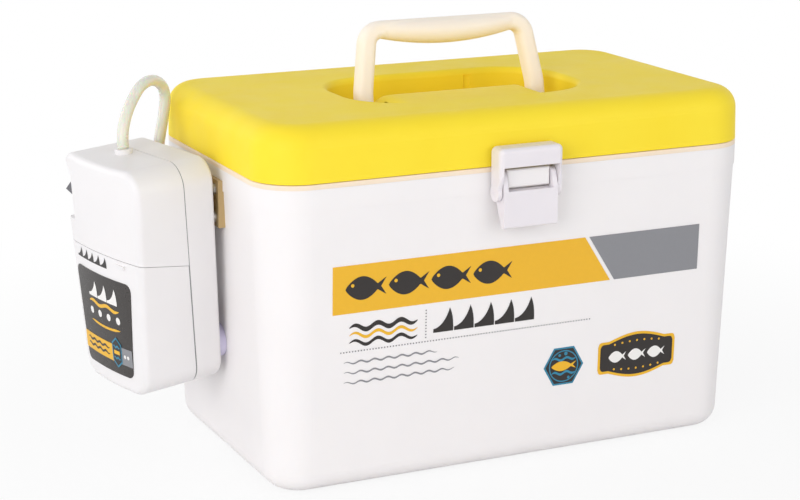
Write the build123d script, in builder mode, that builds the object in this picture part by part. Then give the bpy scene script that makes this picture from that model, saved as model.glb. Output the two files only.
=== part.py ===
from build123d import *

import math
import os

# Insulated live-bait box with a hinged lid, a swing handle, a draw latch and a battery air pump.
# Millimetres. x runs left to right, y front to back, z up. The origin is the middle of the flat base.

# ---------------------------------------------------------------- driving sizes: box
box_length = 330.0
box_width = 196.0
seam_height = 191.5
plan_corner = 29.0
collar_height = 16.0
collar_step = 0.6
body_draft = 1.9
base_edge_radius = 13.0
shell_wall = 2.6
insulated_wall = 19.0
well_corner = 24.0
well_floor = 20.0
well_draft = 2.2
well_edge_radius = 12.0
liner_wall = 2.4
rim_thickness = 3.0
rim_edge = 0.8
foam_gap = 0.2

# ---------------------------------------------------------------- driving sizes: lid
lid_height = 33.5
lid_draft = 1.5
lid_edge_radius = 13.5
lid_wall = 2.8
seam_gap = 0.4
recess_length = 158.0
recess_front = -50.0
recess_back = 45.0
recess_corner = 38.0
recess_floor = 197.0
recess_rim_radius = 4.0
island_back = 7.0
island_slope = 12.0
island_corner = 4.0
island_core_corner = 3.0
island_core_back = -9.0
island_drop = 3.5
notch_x = 34.0
notch_radius = 3.2
notch_depth = 1.4
notch_inset = 4.0
liner_plate = 2.0
plug_depth = 7.5
plug_gap = 3.0
plug_wall = 2.4
gasket_height = 3.2
gasket_bite = 2.4
gasket_lift = 1.6
gasket_edge = 1.0
gasket_seat = 1.0

# ---------------------------------------------------------------- driving sizes: handle
handle_reach = 60.8
handle_pivot_y = -2.0
handle_pivot_z = 206.0
handle_lean = 11.0
handle_rise = 56.0
leg_width = 11.2
leg_depth = 12.0
leg_edge = 4.2
leg_eye_radius = 6.4
grip_half = 54.5
grip_height = 16.5
grip_depth = 19.0
grip_swell_half = 46.0
leg_knee = 0.3
knee_radius = 40.0
grip_corner_radius = 10.0
pivot_pin_radius = 3.0
pivot_head_radius = 4.8
pivot_head = 1.8
pivot_pin_bite = 14.0
running_gap = 0.3
pin_clearance = 0.05
# Cuts run this far past the faces they open.
cut_over = 1.0

# ---------------------------------------------------------------- driving sizes: rear hinges
hinge_spacing = 190.0
hinge_width = 40.0
hinge_plate = 2.2
hinge_plate_height = 17.0
knuckle_radius = 4.4
knuckle_gap = 0.4
lid_knuckle_width = 15.0
hinge_pin_radius = 2.0
hinge_axis_out = 5.0
hinge_screw_radius = 1.6
hinge_screw_head = 3.2
hinge_screw_rise = 1.4
hinge_screw_half = 13.0
hinge_screw_bite = 1.5
hinge_leaf_corner = 2.0

# ---------------------------------------------------------------- driving sizes: latch
latch_x = -1.0
latch_half = 21.5
bail_cheek = 2.7
bail_depth = 13.5
bail_top = 204.5
bail_band_height = 11.5
bail_top_wall = 2.5
bail_band_wall = 2.4
bail_lobe_radius = 5.2
bail_rear_gap = 1.8
bail_front_edge = 3.0
bail_top_corner = 3.5
bail_cheek_drop = 4.0
bail_neck_inset = 0.6
bail_neck_rise = 2.0
bail_back_inset = 1.0
bail_back_rise = 7.0
lever_half = 18.2
lever_flange = 3.1
lever_plate = 2.3
lever_depth = 12.5
lever_bottom = 155.5
lever_plate_top = 178.3
lever_ear_radius = 4.2
lever_lip = 3.4
lever_lip_edge = 1.5
lever_tail = 5.0
latch_pivot_out = 6.0
latch_pivot_z = 185.7
bail_pivot_drop = 8.7
latch_pin_radius = 1.3
lug_half = 14.5
lug_depth = 9.0
lug_bottom = 179.5
lug_top = 191.0
lug_edge = 1.4
lug_bite = 1.0
catch_half = 17.0
catch_depth = 1.6
catch_bottom = 194.5
catch_gap = 0.3

# ---------------------------------------------------------------- driving sizes: air pump
pump_gap = 16.4
pump_mid_y = 17.2
pump_top_z = 197.0
pump_yaw = 11.0
pump_tilt = 4.0
pump_height = 141.7
pump_top_half = 47.6
pump_bottom_half = 37.4
pump_depth = 51.9
pump_bow = 5.0
pump_top_corner = 3.5
pump_bottom_corner = 14.0
pump_front_edge = 4.0
pump_back_edge = 2.5
pump_wall = 2.2
parting_top = 20.6
parting_bottom = 17.7
seal_thickness = 0.6
seal_inset = 0.35
door_seam_drop = 62.0
door_seam_tilt = 11.0
door_gap = 0.3

cell_radius = 17.1
cell_length = 59.5
cell_nub_radius = 4.6
cell_nub = 1.8
cell_gap = 0.5
cell_out = 26.0
cradle_floor_rise = 10.0
cradle_wall = 1.6
cradle_side_inset = 2.0
cradle_post_radius = 3.0
cradle_post_end = 7.0
cradle_screw_inset = 7.0
cradle_screw_rise = 15.0
contact_thickness = 0.5
contact_half = 5.5
case_screw_radius = 1.4
case_screw_head = 2.8
case_screw_length = 11.5
case_screw_sink = 1.2
case_screw_inset = 9.5
case_screw_drop = 9.0
case_post_radius = 3.6
case_post_bite = 0.6

motor_radius = 12.0
motor_length = 30.0
motor_middle = -16.7
motor_out = 30.0
motor_drop = 36.0
motor_boss_radius = 4.0
motor_boss = 1.5
clamp_wall = 1.8
clamp_inset = 6.0
shaft_radius = 1.0
shaft_grip = 8.0
cam_radius = 5.0
cam_width = 3.0
crank_throw = 0.8
crank_pin_radius = 1.5
crank_pin_proud = 1.0
yoke_thickness = 4.0
yoke_width = 16.0
yoke_foot = 3.0
nipple_across = 7.2
nipple_out = 30.0
nipple_stem_radius = 3.5
nipple_collar_radius = 5.5
nipple_collar = 3.0
nipple_bore = 1.4
valve_length = 30.0
valve_width = 24.0
valve_height = 11.0
diaphragm_radius = 10.5
diaphragm_height = 9.0
diaphragm_cone = 3.0

switch_drop = 27.0
switch_facet = 7.0
switch_length = 24.0
switch_width = 12.6
switch_recess_foot = 3.0
switch_recess_ramp = 2.7
switch_body_depth = 11.0
switch_body_width = 10.0
bezel_thickness = 0.8
rocker_length = 16.0
rocker_width = 7.6
rocker_side_gap = 0.4
rocker_end_gap = 1.2
rocker_rise = 9.9
rocker_shoulder = 6.6
rocker_valley = 4.6
rocker_low = 3.6
rocker_toe = 1.8
rocker_bevel = 0.8
rocker_tip_inset = 5.0
rocker_valley_shift = 2.5
rocker_back = 2.0
rocker_pivot_radius = 1.2
rocker_pivot_wall = 0.45
rocker_pin_bite = 1.2
thumb_ridge_across = -23.6
thumb_ridge_half = 5.0
thumb_ridge_drop = 60.0
thumb_ridge_rise = 1.1

label_across = 2.3
label_top_margin = 8.05
label_bottom_margin = 9.7
label_seam_gap = 8.1
label_rise = 10.7
label_thickness = 0.4
label_corner = 5.0

# ---------------------------------------------------------------- driving sizes: pump hanger
tongue_width = 30.0
tongue_thickness = 2.4
tongue_length = 30.0
tongue_root_drop = 12.0
tongue_root_height = 4.0
tongue_bevel = 1.5
hanger_plate = 2.2
hanger_slack = 0.35
hanger_near = -30.0
hanger_far = 22.5
hanger_arm = 4.5
hanger_height = 27.0
hanger_base_near = -25.0
hanger_base_far = 42.5
hanger_base_height = 29.0
hanger_base_thickness = 2.8
hanger_screw_near = -18.5
hanger_screw_far = 30.5
hanger_screw_half = 8.5
hanger_screw_radius = 1.7
hanger_screw_head = 3.4
hanger_screw_rise = 1.8
hanger_screw_length = 9.0
bumper_radius = 10.4
bumper_rise = 21.4
bumper_across = 26.0
bumper_gap = 0.2

# ---------------------------------------------------------------- driving sizes: air line
tube_radius = 3.5
tube_bore = 2.5
tube_start_run = 9.0
bend_share = 0.45
spigot_radius = 2.35
spigot_length = 4.4
port_reach = 14.0
port_back_inset = 45.1
port_z = 168.0
port_shoulder_z = 175.5
elbow_radius = 4.4
elbow_stem_radius = 4.0
port_flange_radius = 7.2
port_flange = 2.0
port_washer_radius = 7.6
washer_thickness = 1.8
port_nut_radius = 8.0
port_nut = 4.0
stem_reach = 4.0
socket_wall = 1.2
inner_drop_inset = 16.0
inner_elbow_drop = 10.0
stone_inset = 23.0
stone_edge = 1.5
stone_y = 50.0
stone_radius = 9.0
stone_length = 30.0
stone_floor_gap = 4.0
stone_fitting_height = 5.0

# ---------------------------------------------------------------- driving sizes: printed band
band_left_inset = 41.0
band_right_inset = 37.0
band_bottom_z = 111.3
band_top_z = 140.8
band_cut_bottom = 64.0
band_cut_top = 45.0
band_cut_gap = 3.0
mark_thickness = 0.25

os.makedirs("parts", exist_ok=True)


def write(builder, name):
    """Labels a finished piece and writes it to its own file."""
    builder.part.label = name
    export_step(builder.part, "parts/" + name + ".step")


# ---------------------------------------------------------------- shared forms
def tub(length, width, corner, top, bottom, draft, edge):
    """Rounded block that narrows downwards from z = top to z = bottom, its lower edge rounded."""
    with BuildPart() as block:
        with BuildSketch(Plane(origin=(0, 0, top), z_dir=(0, 0, -1))):
            RectangleRounded(length, width, corner)
        extrude(amount=top - bottom, taper=draft)
        fillet(block.faces().sort_by(Axis.Z)[0].edges(), edge)
    return block.part


def dome(length, width, corner, bottom, top, draft, edge):
    """Rounded block that narrows upwards from z = bottom to z = top, its upper edge rounded."""
    with BuildPart() as block:
        with BuildSketch(Plane.XY.offset(bottom)):
            RectangleRounded(length, width, corner)
        extrude(amount=top - bottom, taper=draft)
        fillet(block.faces().sort_by(Axis.Z)[-1].edges(), edge)
    return block.part


def slab(length, width, corner, bottom, top):
    """Upright plate with a rounded-rectangle plan."""
    with BuildPart() as block:
        with BuildSketch(Plane.XY.offset(bottom)):
            RectangleRounded(length, width, corner)
        extrude(amount=top - bottom)
    return block.part


# ---------------------------------------------------------------- box: shell, foam, liner
half_length = box_length / 2
half_width = box_width / 2
well_length = box_length - 2 * insulated_wall
well_width = box_width - 2 * insulated_wall
collar_bottom = seam_height - collar_height
rim_bottom = seam_height - rim_thickness

shell_outside = tub(
    box_length - 2 * collar_step,
    box_width - 2 * collar_step,
    plan_corner - collar_step,
    collar_bottom,
    0,
    body_draft,
    base_edge_radius,
)
shell_inside = tub(
    box_length - 2 * (collar_step + shell_wall),
    box_width - 2 * (collar_step + shell_wall),
    plan_corner - collar_step - shell_wall,
    rim_bottom,
    shell_wall,
    body_draft,
    base_edge_radius - shell_wall,
)
foam_outside = tub(
    box_length - 2 * (collar_step + shell_wall + foam_gap),
    box_width - 2 * (collar_step + shell_wall + foam_gap),
    plan_corner - collar_step - shell_wall - foam_gap,
    rim_bottom,
    shell_wall + foam_gap,
    body_draft,
    base_edge_radius - shell_wall - foam_gap,
)
well_inside = tub(
    well_length,
    well_width,
    well_corner,
    seam_height,
    well_floor,
    well_draft,
    well_edge_radius,
)
well_outside = tub(
    well_length + 2 * liner_wall,
    well_width + 2 * liner_wall,
    well_corner + liner_wall,
    seam_height,
    well_floor - liner_wall,
    well_draft,
    well_edge_radius + liner_wall,
)
foam_hollow = tub(
    well_length + 2 * (liner_wall + foam_gap),
    well_width + 2 * (liner_wall + foam_gap),
    well_corner + liner_wall + foam_gap,
    seam_height,
    well_floor - liner_wall - foam_gap,
    well_draft,
    well_edge_radius + liner_wall + foam_gap,
)

# Air port: a stem through the left wall.
port_y = half_width - port_back_inset
port_stem_hole = elbow_stem_radius + pin_clearance
with BuildPart() as port_drill:
    with Locations((-half_length, port_y, port_z)):
        Cylinder(port_stem_hole, 4 * insulated_wall, rotation=(0, 90, 0))

# Hanger screws: four, in a rectangle on the left wall.
hanger_top_z = pump_top_z - tongue_root_drop - tongue_root_height
hanger_mid_z = hanger_top_z - hanger_height / 2
hanger_screw_spots = [
    (spot_y, hanger_mid_z + level * hanger_screw_half)
    for spot_y in (hanger_screw_near, hanger_screw_far)
    for level in (-1, 1)
]
hanger_face_x = -half_length - hanger_base_thickness
with BuildPart() as hanger_screw_drill:
    for spot_y, spot_z in hanger_screw_spots:
        with Locations((hanger_face_x + hanger_screw_length / 2, spot_y, spot_z)):
            Cylinder(hanger_screw_radius, hanger_screw_length, rotation=(0, 90, 0))

# Hinge screws: two a leaf, along y.
hinge_centres = (-hinge_spacing / 2, hinge_spacing / 2)
hinge_axis_y = half_width + hinge_axis_out
hinge_axis_z = seam_height + seam_gap / 2
hinge_screw_length = hinge_plate + shell_wall + hinge_screw_bite
body_leaf_top = hinge_axis_z - knuckle_radius - knuckle_gap
body_leaf_bottom = body_leaf_top - hinge_plate_height
lid_leaf_bottom = hinge_axis_z + knuckle_radius + knuckle_gap
lid_leaf_top = lid_leaf_bottom + hinge_plate_height
body_screw_z = (body_leaf_bottom + body_leaf_top) / 2
lid_screw_z = (lid_leaf_bottom + lid_leaf_top) / 2


def hinge_screw_spots(level):
    """Middles of the screws of both hinges at one height."""
    return [
        (middle + side * hinge_screw_half, level) for middle in hinge_centres for side in (-1, 1)
    ]


def hinge_drill(level):
    """Shanks of four hinge screws that run forwards from the leaf's outer face."""
    with BuildPart() as drill:
        for spot_x, spot_z in hinge_screw_spots(level):
            middle_y = half_width + hinge_plate - hinge_screw_length / 2
            with Locations((spot_x, middle_y, spot_z)):
                Cylinder(hinge_screw_radius, hinge_screw_length, rotation=(90, 0, 0))
    return drill.part


body_hinge_drill = hinge_drill(body_screw_z)
lid_hinge_drill = hinge_drill(lid_screw_z)

latch_front_y = -half_width - bail_depth
latch_pivot_y = -half_width - latch_pivot_out
bail_pivot_z = latch_pivot_z - bail_pivot_drop

with BuildPart() as outer_shell:
    add(shell_outside)
    with BuildSketch(Plane.XY.offset(collar_bottom)):
        RectangleRounded(box_length, box_width, plan_corner)
    extrude(amount=rim_bottom - collar_bottom)
    # Latch lug moulded on the front of the collar.
    with BuildSketch(Plane(origin=(latch_x - lug_half, 0, 0), x_dir=(0, 1, 0), z_dir=(1, 0, 0))):
        with BuildLine():
            Polyline(
                (lug_bite - half_width, lug_bottom),
                (-half_width - lug_depth, lug_bottom),
                (-half_width - lug_depth, lug_top),
                (-half_width, lug_top),
                (-half_width, rim_bottom),
                (lug_bite - half_width, rim_bottom),
                close=True,
            )
        make_face()
    extrude(amount=2 * lug_half)
    lug_edges = outer_shell.edges().group_by(Axis.Y)[0]
    fillet(lug_edges, lug_edge)
    add(shell_inside, mode=Mode.SUBTRACT)
    with Locations((latch_x, latch_pivot_y, latch_pivot_z)):
        Cylinder(
            latch_pin_radius + pin_clearance,
            2 * (lug_half + cut_over),
            rotation=(0, 90, 0),
            mode=Mode.SUBTRACT,
        )
    add(port_drill.part, mode=Mode.SUBTRACT)
    add(hanger_screw_drill.part, mode=Mode.SUBTRACT)
    add(body_hinge_drill, mode=Mode.SUBTRACT)
write(outer_shell, "outer_shell")

with BuildPart() as foam_core:
    add(foam_outside)
    add(foam_hollow, mode=Mode.SUBTRACT)
    add(port_drill.part, mode=Mode.SUBTRACT)
    add(hanger_screw_drill.part, mode=Mode.SUBTRACT)
    add(body_hinge_drill, mode=Mode.SUBTRACT)
write(foam_core, "foam_core")

with BuildPart() as inner_liner:
    add(well_outside)
    add(slab(box_length, box_width, plan_corner, rim_bottom, seam_height))
    add(well_inside, mode=Mode.SUBTRACT)
    add(port_drill.part, mode=Mode.SUBTRACT)
    rim_edges = inner_liner.faces().sort_by(Axis.Z)[-1].outer_wire().edges()
    fillet(rim_edges, rim_edge)
write(inner_liner, "inner_liner")

# ---------------------------------------------------------------- lid
lid_bottom = seam_height + seam_gap
lid_top = seam_height + lid_height
recess_width = recess_back - recess_front
recess_mid_y = (recess_back + recess_front) / 2
island_half = handle_reach - leg_width / 2 - running_gap
island_top = lid_top - island_drop
cup_bottom = recess_floor - lid_wall
plug_bottom = lid_bottom - plug_depth

lid_outside = dome(
    box_length, box_width, plan_corner, lid_bottom, lid_top, lid_draft, lid_edge_radius
)
lid_inside = dome(
    box_length - 2 * lid_wall,
    box_width - 2 * lid_wall,
    plan_corner - lid_wall,
    lid_bottom,
    lid_top - lid_wall,
    lid_draft,
    lid_edge_radius - lid_wall,
)
lid_foam_outside = dome(
    box_length - 2 * (lid_wall + foam_gap),
    box_width - 2 * (lid_wall + foam_gap),
    plan_corner - lid_wall - foam_gap,
    lid_bottom + liner_plate + foam_gap,
    lid_top - lid_wall - foam_gap,
    lid_draft,
    lid_edge_radius - lid_wall - foam_gap,
)


def recess_block(extra, bottom, top):
    """Block over the lid's recess, its outline widened by extra."""
    with BuildPart() as block:
        with BuildSketch(Plane.XY.offset(bottom)):
            with Locations((0, recess_mid_y)):
                RectangleRounded(
                    recess_length + 2 * extra, recess_width + 2 * extra, recess_corner + extra
                )
        extrude(amount=top - bottom)
    return block.part


with BuildPart() as island:
    island_front = recess_front - lid_wall / 2
    with BuildSketch(Plane.XY.offset(cup_bottom)):
        with Locations((0, (island_back + island_front) / 2)):
            Rectangle(2 * island_half, island_back - island_front)
    extrude(amount=island_top - cup_bottom)
    fillet(island.edges().filter_by(Axis.Z).group_by(Axis.Y)[-1], island_corner)
    fillet(island.faces().sort_by(Axis.Z)[-1].edges().group_by(Axis.Y)[-1], island_slope)
    add(recess_block(lid_wall / 2, cup_bottom, lid_top), mode=Mode.INTERSECT)

with BuildPart() as island_core:
    with BuildSketch(Plane.XY.offset(cup_bottom)):
        with Locations((0, (island_core_back + recess_front + lid_wall) / 2)):
            RectangleRounded(
                2 * (island_half - lid_wall),
                island_core_back - recess_front - lid_wall,
                island_core_corner,
            )
    extrude(amount=island_top - lid_wall - cup_bottom)

pivot_pin_inner = island_half - pivot_pin_bite
pivot_pin_outer = handle_reach + leg_width / 2 + running_gap
pivot_pin_middle = (pivot_pin_inner + pivot_pin_outer) / 2
pivot_pin_length = pivot_pin_outer - pivot_pin_inner
catch_top = bail_top - bail_top_wall - catch_gap

with BuildPart() as lid_shell:
    add(lid_outside)
    add(lid_inside, mode=Mode.SUBTRACT)
    add(recess_block(lid_wall, cup_bottom, lid_top - lid_wall / 2))
    add(recess_block(0, recess_floor, lid_top + cut_over), mode=Mode.SUBTRACT)
    recess_rim = lid_shell.faces().filter_by(Axis.Z).sort_by(Axis.Z)[-1].inner_wires()[0]
    fillet(recess_rim.edges(), recess_rim_radius)
    add(island.part)
    add(island_core.part, mode=Mode.SUBTRACT)
    for side in (-1, 1):
        with Locations((side * pivot_pin_middle, handle_pivot_y, handle_pivot_z)):
            Cylinder(
                pivot_pin_radius, pivot_pin_length, rotation=(0, 90, 0), mode=Mode.SUBTRACT
            )
    notch_y = recess_back - notch_radius + notch_depth
    with Locations((notch_x, notch_y, (recess_floor + lid_top) / 2)):
        Cylinder(
            notch_radius, lid_top - recess_floor - 2 * notch_inset, mode=Mode.SUBTRACT
        )
    with Locations((latch_x, -half_width, (catch_bottom + catch_top) / 2)):
        Box(2 * catch_half, 2 * catch_depth, catch_top - catch_bottom)
    add(lid_hinge_drill, mode=Mode.SUBTRACT)
write(lid_shell, "lid_shell")

with BuildPart() as lid_liner:
    plate_inset = lid_wall + foam_gap / 2
    add(
        slab(
            box_length - 2 * plate_inset,
            box_width - 2 * plate_inset,
            plan_corner - plate_inset,
            lid_bottom,
            lid_bottom + liner_plate,
        )
    )
    add(
        slab(
            well_length - 2 * plug_gap,
            well_width - 2 * plug_gap,
            well_corner - plug_gap,
            plug_bottom,
            lid_bottom,
        )
    )
    # Groove round the plug for the gasket.
    gasket_bottom = plug_bottom + gasket_lift
    add(
        slab(
            well_length,
            well_width,
            well_corner,
            gasket_bottom,
            gasket_bottom + gasket_height,
        ),
        mode=Mode.SUBTRACT,
    )
    add(
        slab(
            well_length - 2 * (plug_gap + gasket_seat),
            well_width - 2 * (plug_gap + gasket_seat),
            well_corner - plug_gap - gasket_seat,
            gasket_bottom,
            gasket_bottom + gasket_height,
        )
    )
    # Hollow behind the plug, open to the lid's foam.
    add(
        slab(
            well_length - 2 * (plug_gap + gasket_seat + plug_wall),
            well_width - 2 * (plug_gap + gasket_seat + plug_wall),
            well_corner - plug_gap - gasket_seat - plug_wall,
            plug_bottom + plug_wall,
            lid_bottom + liner_plate,
        ),
        mode=Mode.SUBTRACT,
    )
write(lid_liner, "lid_liner")

with BuildPart() as lid_gasket:
    add(
        slab(
            well_length - 2 * (plug_gap - gasket_bite),
            well_width - 2 * (plug_gap - gasket_bite),
            well_corner - plug_gap + gasket_bite,
            gasket_bottom,
            gasket_bottom + gasket_height,
        )
    )
    fillet(lid_gasket.faces().filter_by(Axis.Z).edges(), gasket_edge)
    add(
        slab(
            well_length - 2 * (plug_gap + gasket_seat - pin_clearance),
            well_width - 2 * (plug_gap + gasket_seat - pin_clearance),
            well_corner - plug_gap - gasket_seat + pin_clearance,
            gasket_bottom,
            gasket_bottom + gasket_height,
        ),
        mode=Mode.SUBTRACT,
    )
write(lid_gasket, "lid_gasket")

with BuildPart() as lid_foam:
    add(lid_foam_outside)
    add(
        slab(
            well_length - 2 * (plug_gap + gasket_seat + plug_wall + foam_gap),
            well_width - 2 * (plug_gap + gasket_seat + plug_wall + foam_gap),
            well_corner - plug_gap - gasket_seat - plug_wall - foam_gap,
            plug_bottom + plug_wall + foam_gap,
            lid_bottom + liner_plate + cut_over,
        )
    )
    add(
        recess_block(lid_wall + foam_gap, cup_bottom - foam_gap, lid_top),
        mode=Mode.SUBTRACT,
    )
    add(lid_hinge_drill, mode=Mode.SUBTRACT)
write(lid_foam, "lid_foam")

# ---------------------------------------------------------------- handle
lean = math.radians(handle_lean)
handle_up = (0, math.sin(lean), math.cos(lean))
handle_plane = Plane(
    origin=(0, handle_pivot_y, handle_pivot_z),
    x_dir=(1, 0, 0),
    z_dir=(0, -math.cos(lean), math.sin(lean)),
)
with BuildPart() as handle:
    with BuildLine(handle_plane) as handle_route:
        FilletPolyline(
            (-handle_reach, 0),
            (-handle_reach, leg_knee * handle_rise),
            (-grip_half, handle_rise),
            (grip_half, handle_rise),
            (handle_reach, leg_knee * handle_rise),
            (handle_reach, 0),
            radius=[knee_radius, grip_corner_radius, grip_corner_radius, knee_radius],
        )
    foot = Plane(
        origin=handle_plane.from_local_coords((-handle_reach, 0, 0)),
        x_dir=(1, 0, 0),
        z_dir=handle_up,
    )
    with BuildSketch(foot):
        RectangleRounded(leg_width, leg_depth, leg_edge)
    sweep(path=handle_route.line)
    # Eyes round the pivot pins.
    for side in (-1, 1):
        with BuildSketch(
            Plane(
                origin=(side * handle_reach - leg_width / 2, handle_pivot_y, handle_pivot_z),
                x_dir=(0, 1, 0),
                z_dir=(1, 0, 0),
            )
        ):
            Circle(leg_eye_radius)
        extrude(amount=leg_width)
    # Swell of the grip: its top stays level with the corners, its underside hangs lower.
    stations = [
        (-grip_swell_half, leg_width),
        (0, grip_height),
        (grip_swell_half, leg_width),
    ]
    swell_depths = [leg_depth, grip_depth, leg_depth]
    for (across, tall), deep in zip(stations, swell_depths):
        middle = handle_rise + leg_width / 2 - tall / 2
        station = Plane(
            origin=handle_plane.from_local_coords((across, middle, 0)),
            x_dir=handle_plane.y_dir,
            z_dir=(1, 0, 0),
        )
        with BuildSketch(station):
            Ellipse(tall / 2, deep / 2)
    loft()
    for side in (-1, 1):
        with Locations((side * handle_reach, handle_pivot_y, handle_pivot_z)):
            Cylinder(
                pivot_pin_radius + pin_clearance,
                leg_width + 2 * cut_over,
                rotation=(0, 90, 0),
                mode=Mode.SUBTRACT,
            )
write(handle, "handle")

with BuildPart() as handle_pins:
    for side in (-1, 1):
        with Locations((side * pivot_pin_middle, handle_pivot_y, handle_pivot_z)):
            Cylinder(pivot_pin_radius, pivot_pin_length, rotation=(0, 90, 0))
        with Locations((side * (pivot_pin_outer + pivot_head / 2), handle_pivot_y, handle_pivot_z)):
            Cylinder(pivot_head_radius, pivot_head, rotation=(0, 90, 0))
write(handle_pins, "handle_pins")

# ---------------------------------------------------------------- rear hinges
body_knuckle_width = (hinge_width - lid_knuckle_width) / 2 - knuckle_gap


def leaf(middle, bottom, top, knuckles, knuckle_side):
    """One hinge leaf: a plate on the back face and knuckles, each (start, width) along x."""
    with BuildPart() as piece:
        with Locations((middle, half_width + hinge_plate / 2, (bottom + top) / 2)):
            Box(hinge_width, hinge_plate, top - bottom)
        fillet(piece.edges().filter_by(Axis.Y), hinge_leaf_corner)
        for start, width in knuckles:
            side_plane = Plane(
                origin=(middle + start, hinge_axis_y, hinge_axis_z), x_dir=(0, 1, 0), z_dir=(1, 0, 0)
            )
            with BuildSketch(side_plane):
                Circle(knuckle_radius)
            extrude(amount=width)
            with BuildSketch(side_plane):
                with Locations((-hinge_axis_out / 2, knuckle_side * knuckle_radius)):
                    Rectangle(hinge_axis_out, 2 * (knuckle_radius - hinge_pin_radius))
            extrude(amount=width)
        with Locations((middle, hinge_axis_y, hinge_axis_z)):
            Cylinder(
                hinge_pin_radius + pin_clearance,
                hinge_width + 2 * cut_over,
                rotation=(0, 90, 0),
                mode=Mode.SUBTRACT,
            )
    return piece.part


body_knuckles = [
    (-hinge_width / 2, body_knuckle_width),
    (lid_knuckle_width / 2 + knuckle_gap, body_knuckle_width),
]
lid_knuckles = [(-lid_knuckle_width / 2, lid_knuckle_width)]

with BuildPart() as hinge_leaves_box:
    for middle in hinge_centres:
        add(leaf(middle, body_leaf_bottom, body_leaf_top, body_knuckles, -1))
    add(body_hinge_drill, mode=Mode.SUBTRACT)
write(hinge_leaves_box, "hinge_leaves_box")

with BuildPart() as hinge_leaves_lid:
    for middle in hinge_centres:
        add(leaf(middle, lid_leaf_bottom, lid_leaf_top, lid_knuckles, 1))
    add(lid_hinge_drill, mode=Mode.SUBTRACT)
write(hinge_leaves_lid, "hinge_leaves_lid")

with BuildPart() as hinge_pins:
    for middle in hinge_centres:
        with Locations((middle, hinge_axis_y, hinge_axis_z)):
            Cylinder(hinge_pin_radius, hinge_width, rotation=(0, 90, 0))
write(hinge_pins, "hinge_pins")


def hinge_screws(drill, level):
    """Shanks of the drill's size with domed heads on the leaf's outer face."""
    with BuildPart() as screws:
        add(drill)
        for spot_x, spot_z in hinge_screw_spots(level):
            with Locations((spot_x, half_width + hinge_plate + hinge_screw_rise / 2, spot_z)):
                Cylinder(hinge_screw_head, hinge_screw_rise, rotation=(90, 0, 0))
    return screws


write(hinge_screws(body_hinge_drill, body_screw_z), "hinge_screws_box")
write(hinge_screws(lid_hinge_drill, lid_screw_z), "hinge_screws_lid")

# ---------------------------------------------------------------- latch
bail_inner_half = latch_half - bail_cheek
bail_rear_y = -half_width - bail_rear_gap
band_bottom = bail_top - bail_band_height
bail_neck_y = latch_pivot_y - bail_lobe_radius + bail_neck_inset
bail_back_y = latch_pivot_y + bail_lobe_radius - bail_back_inset
latch_cut = 2 * (bail_top - lever_bottom)


def side_plane_at(x):
    """Plane of a side view, y to the right and z up, at one x."""
    return Plane(origin=(x, 0, 0), x_dir=(0, 1, 0), z_dir=(1, 0, 0))


with BuildPart() as latch_bail:
    with BuildSketch(side_plane_at(latch_x - latch_half)):
        with BuildLine():
            Polyline(
                (bail_rear_y, bail_top),
                (latch_front_y, bail_top),
                (latch_front_y, band_bottom - bail_cheek_drop),
                (bail_neck_y, bail_pivot_z + bail_neck_rise),
                (bail_neck_y, bail_pivot_z),
                (bail_back_y, bail_pivot_z),
                (bail_rear_y, bail_pivot_z + bail_back_rise),
                close=True,
            )
        make_face()
        with Locations((latch_pivot_y, bail_pivot_z)):
            Circle(bail_lobe_radius)
    extrude(amount=2 * latch_half)
    top_edges = latch_bail.edges().filter_by(Axis.X).group_by(Axis.Z)[-1]
    fillet(top_edges.sort_by(Axis.Y)[0], bail_front_edge)
    top_corners = latch_bail.edges().group_by(Axis.Z)[-1].filter_by(Axis.Y)
    fillet(top_corners, bail_top_corner)
    # Space between the cheeks, behind the front band and under the top wall.
    with Locations((latch_x, 0, bail_top - bail_top_wall)):
        Box(
            2 * bail_inner_half,
            2 * (half_width + bail_depth - bail_band_wall),
            latch_cut,
            align=(Align.CENTER, Align.CENTER, Align.MAX),
            mode=Mode.SUBTRACT,
        )
    # Window under the band.
    with Locations((latch_x, 0, band_bottom)):
        Box(
            2 * bail_inner_half,
            4 * half_width,
            latch_cut,
            align=(Align.CENTER, Align.CENTER, Align.MAX),
            mode=Mode.SUBTRACT,
        )
    with Locations((latch_x, latch_pivot_y, bail_pivot_z)):
        Cylinder(
            latch_pin_radius + pin_clearance,
            2 * (latch_half + cut_over),
            rotation=(0, 90, 0),
            mode=Mode.SUBTRACT,
        )
write(latch_bail, "latch_bail")

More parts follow.
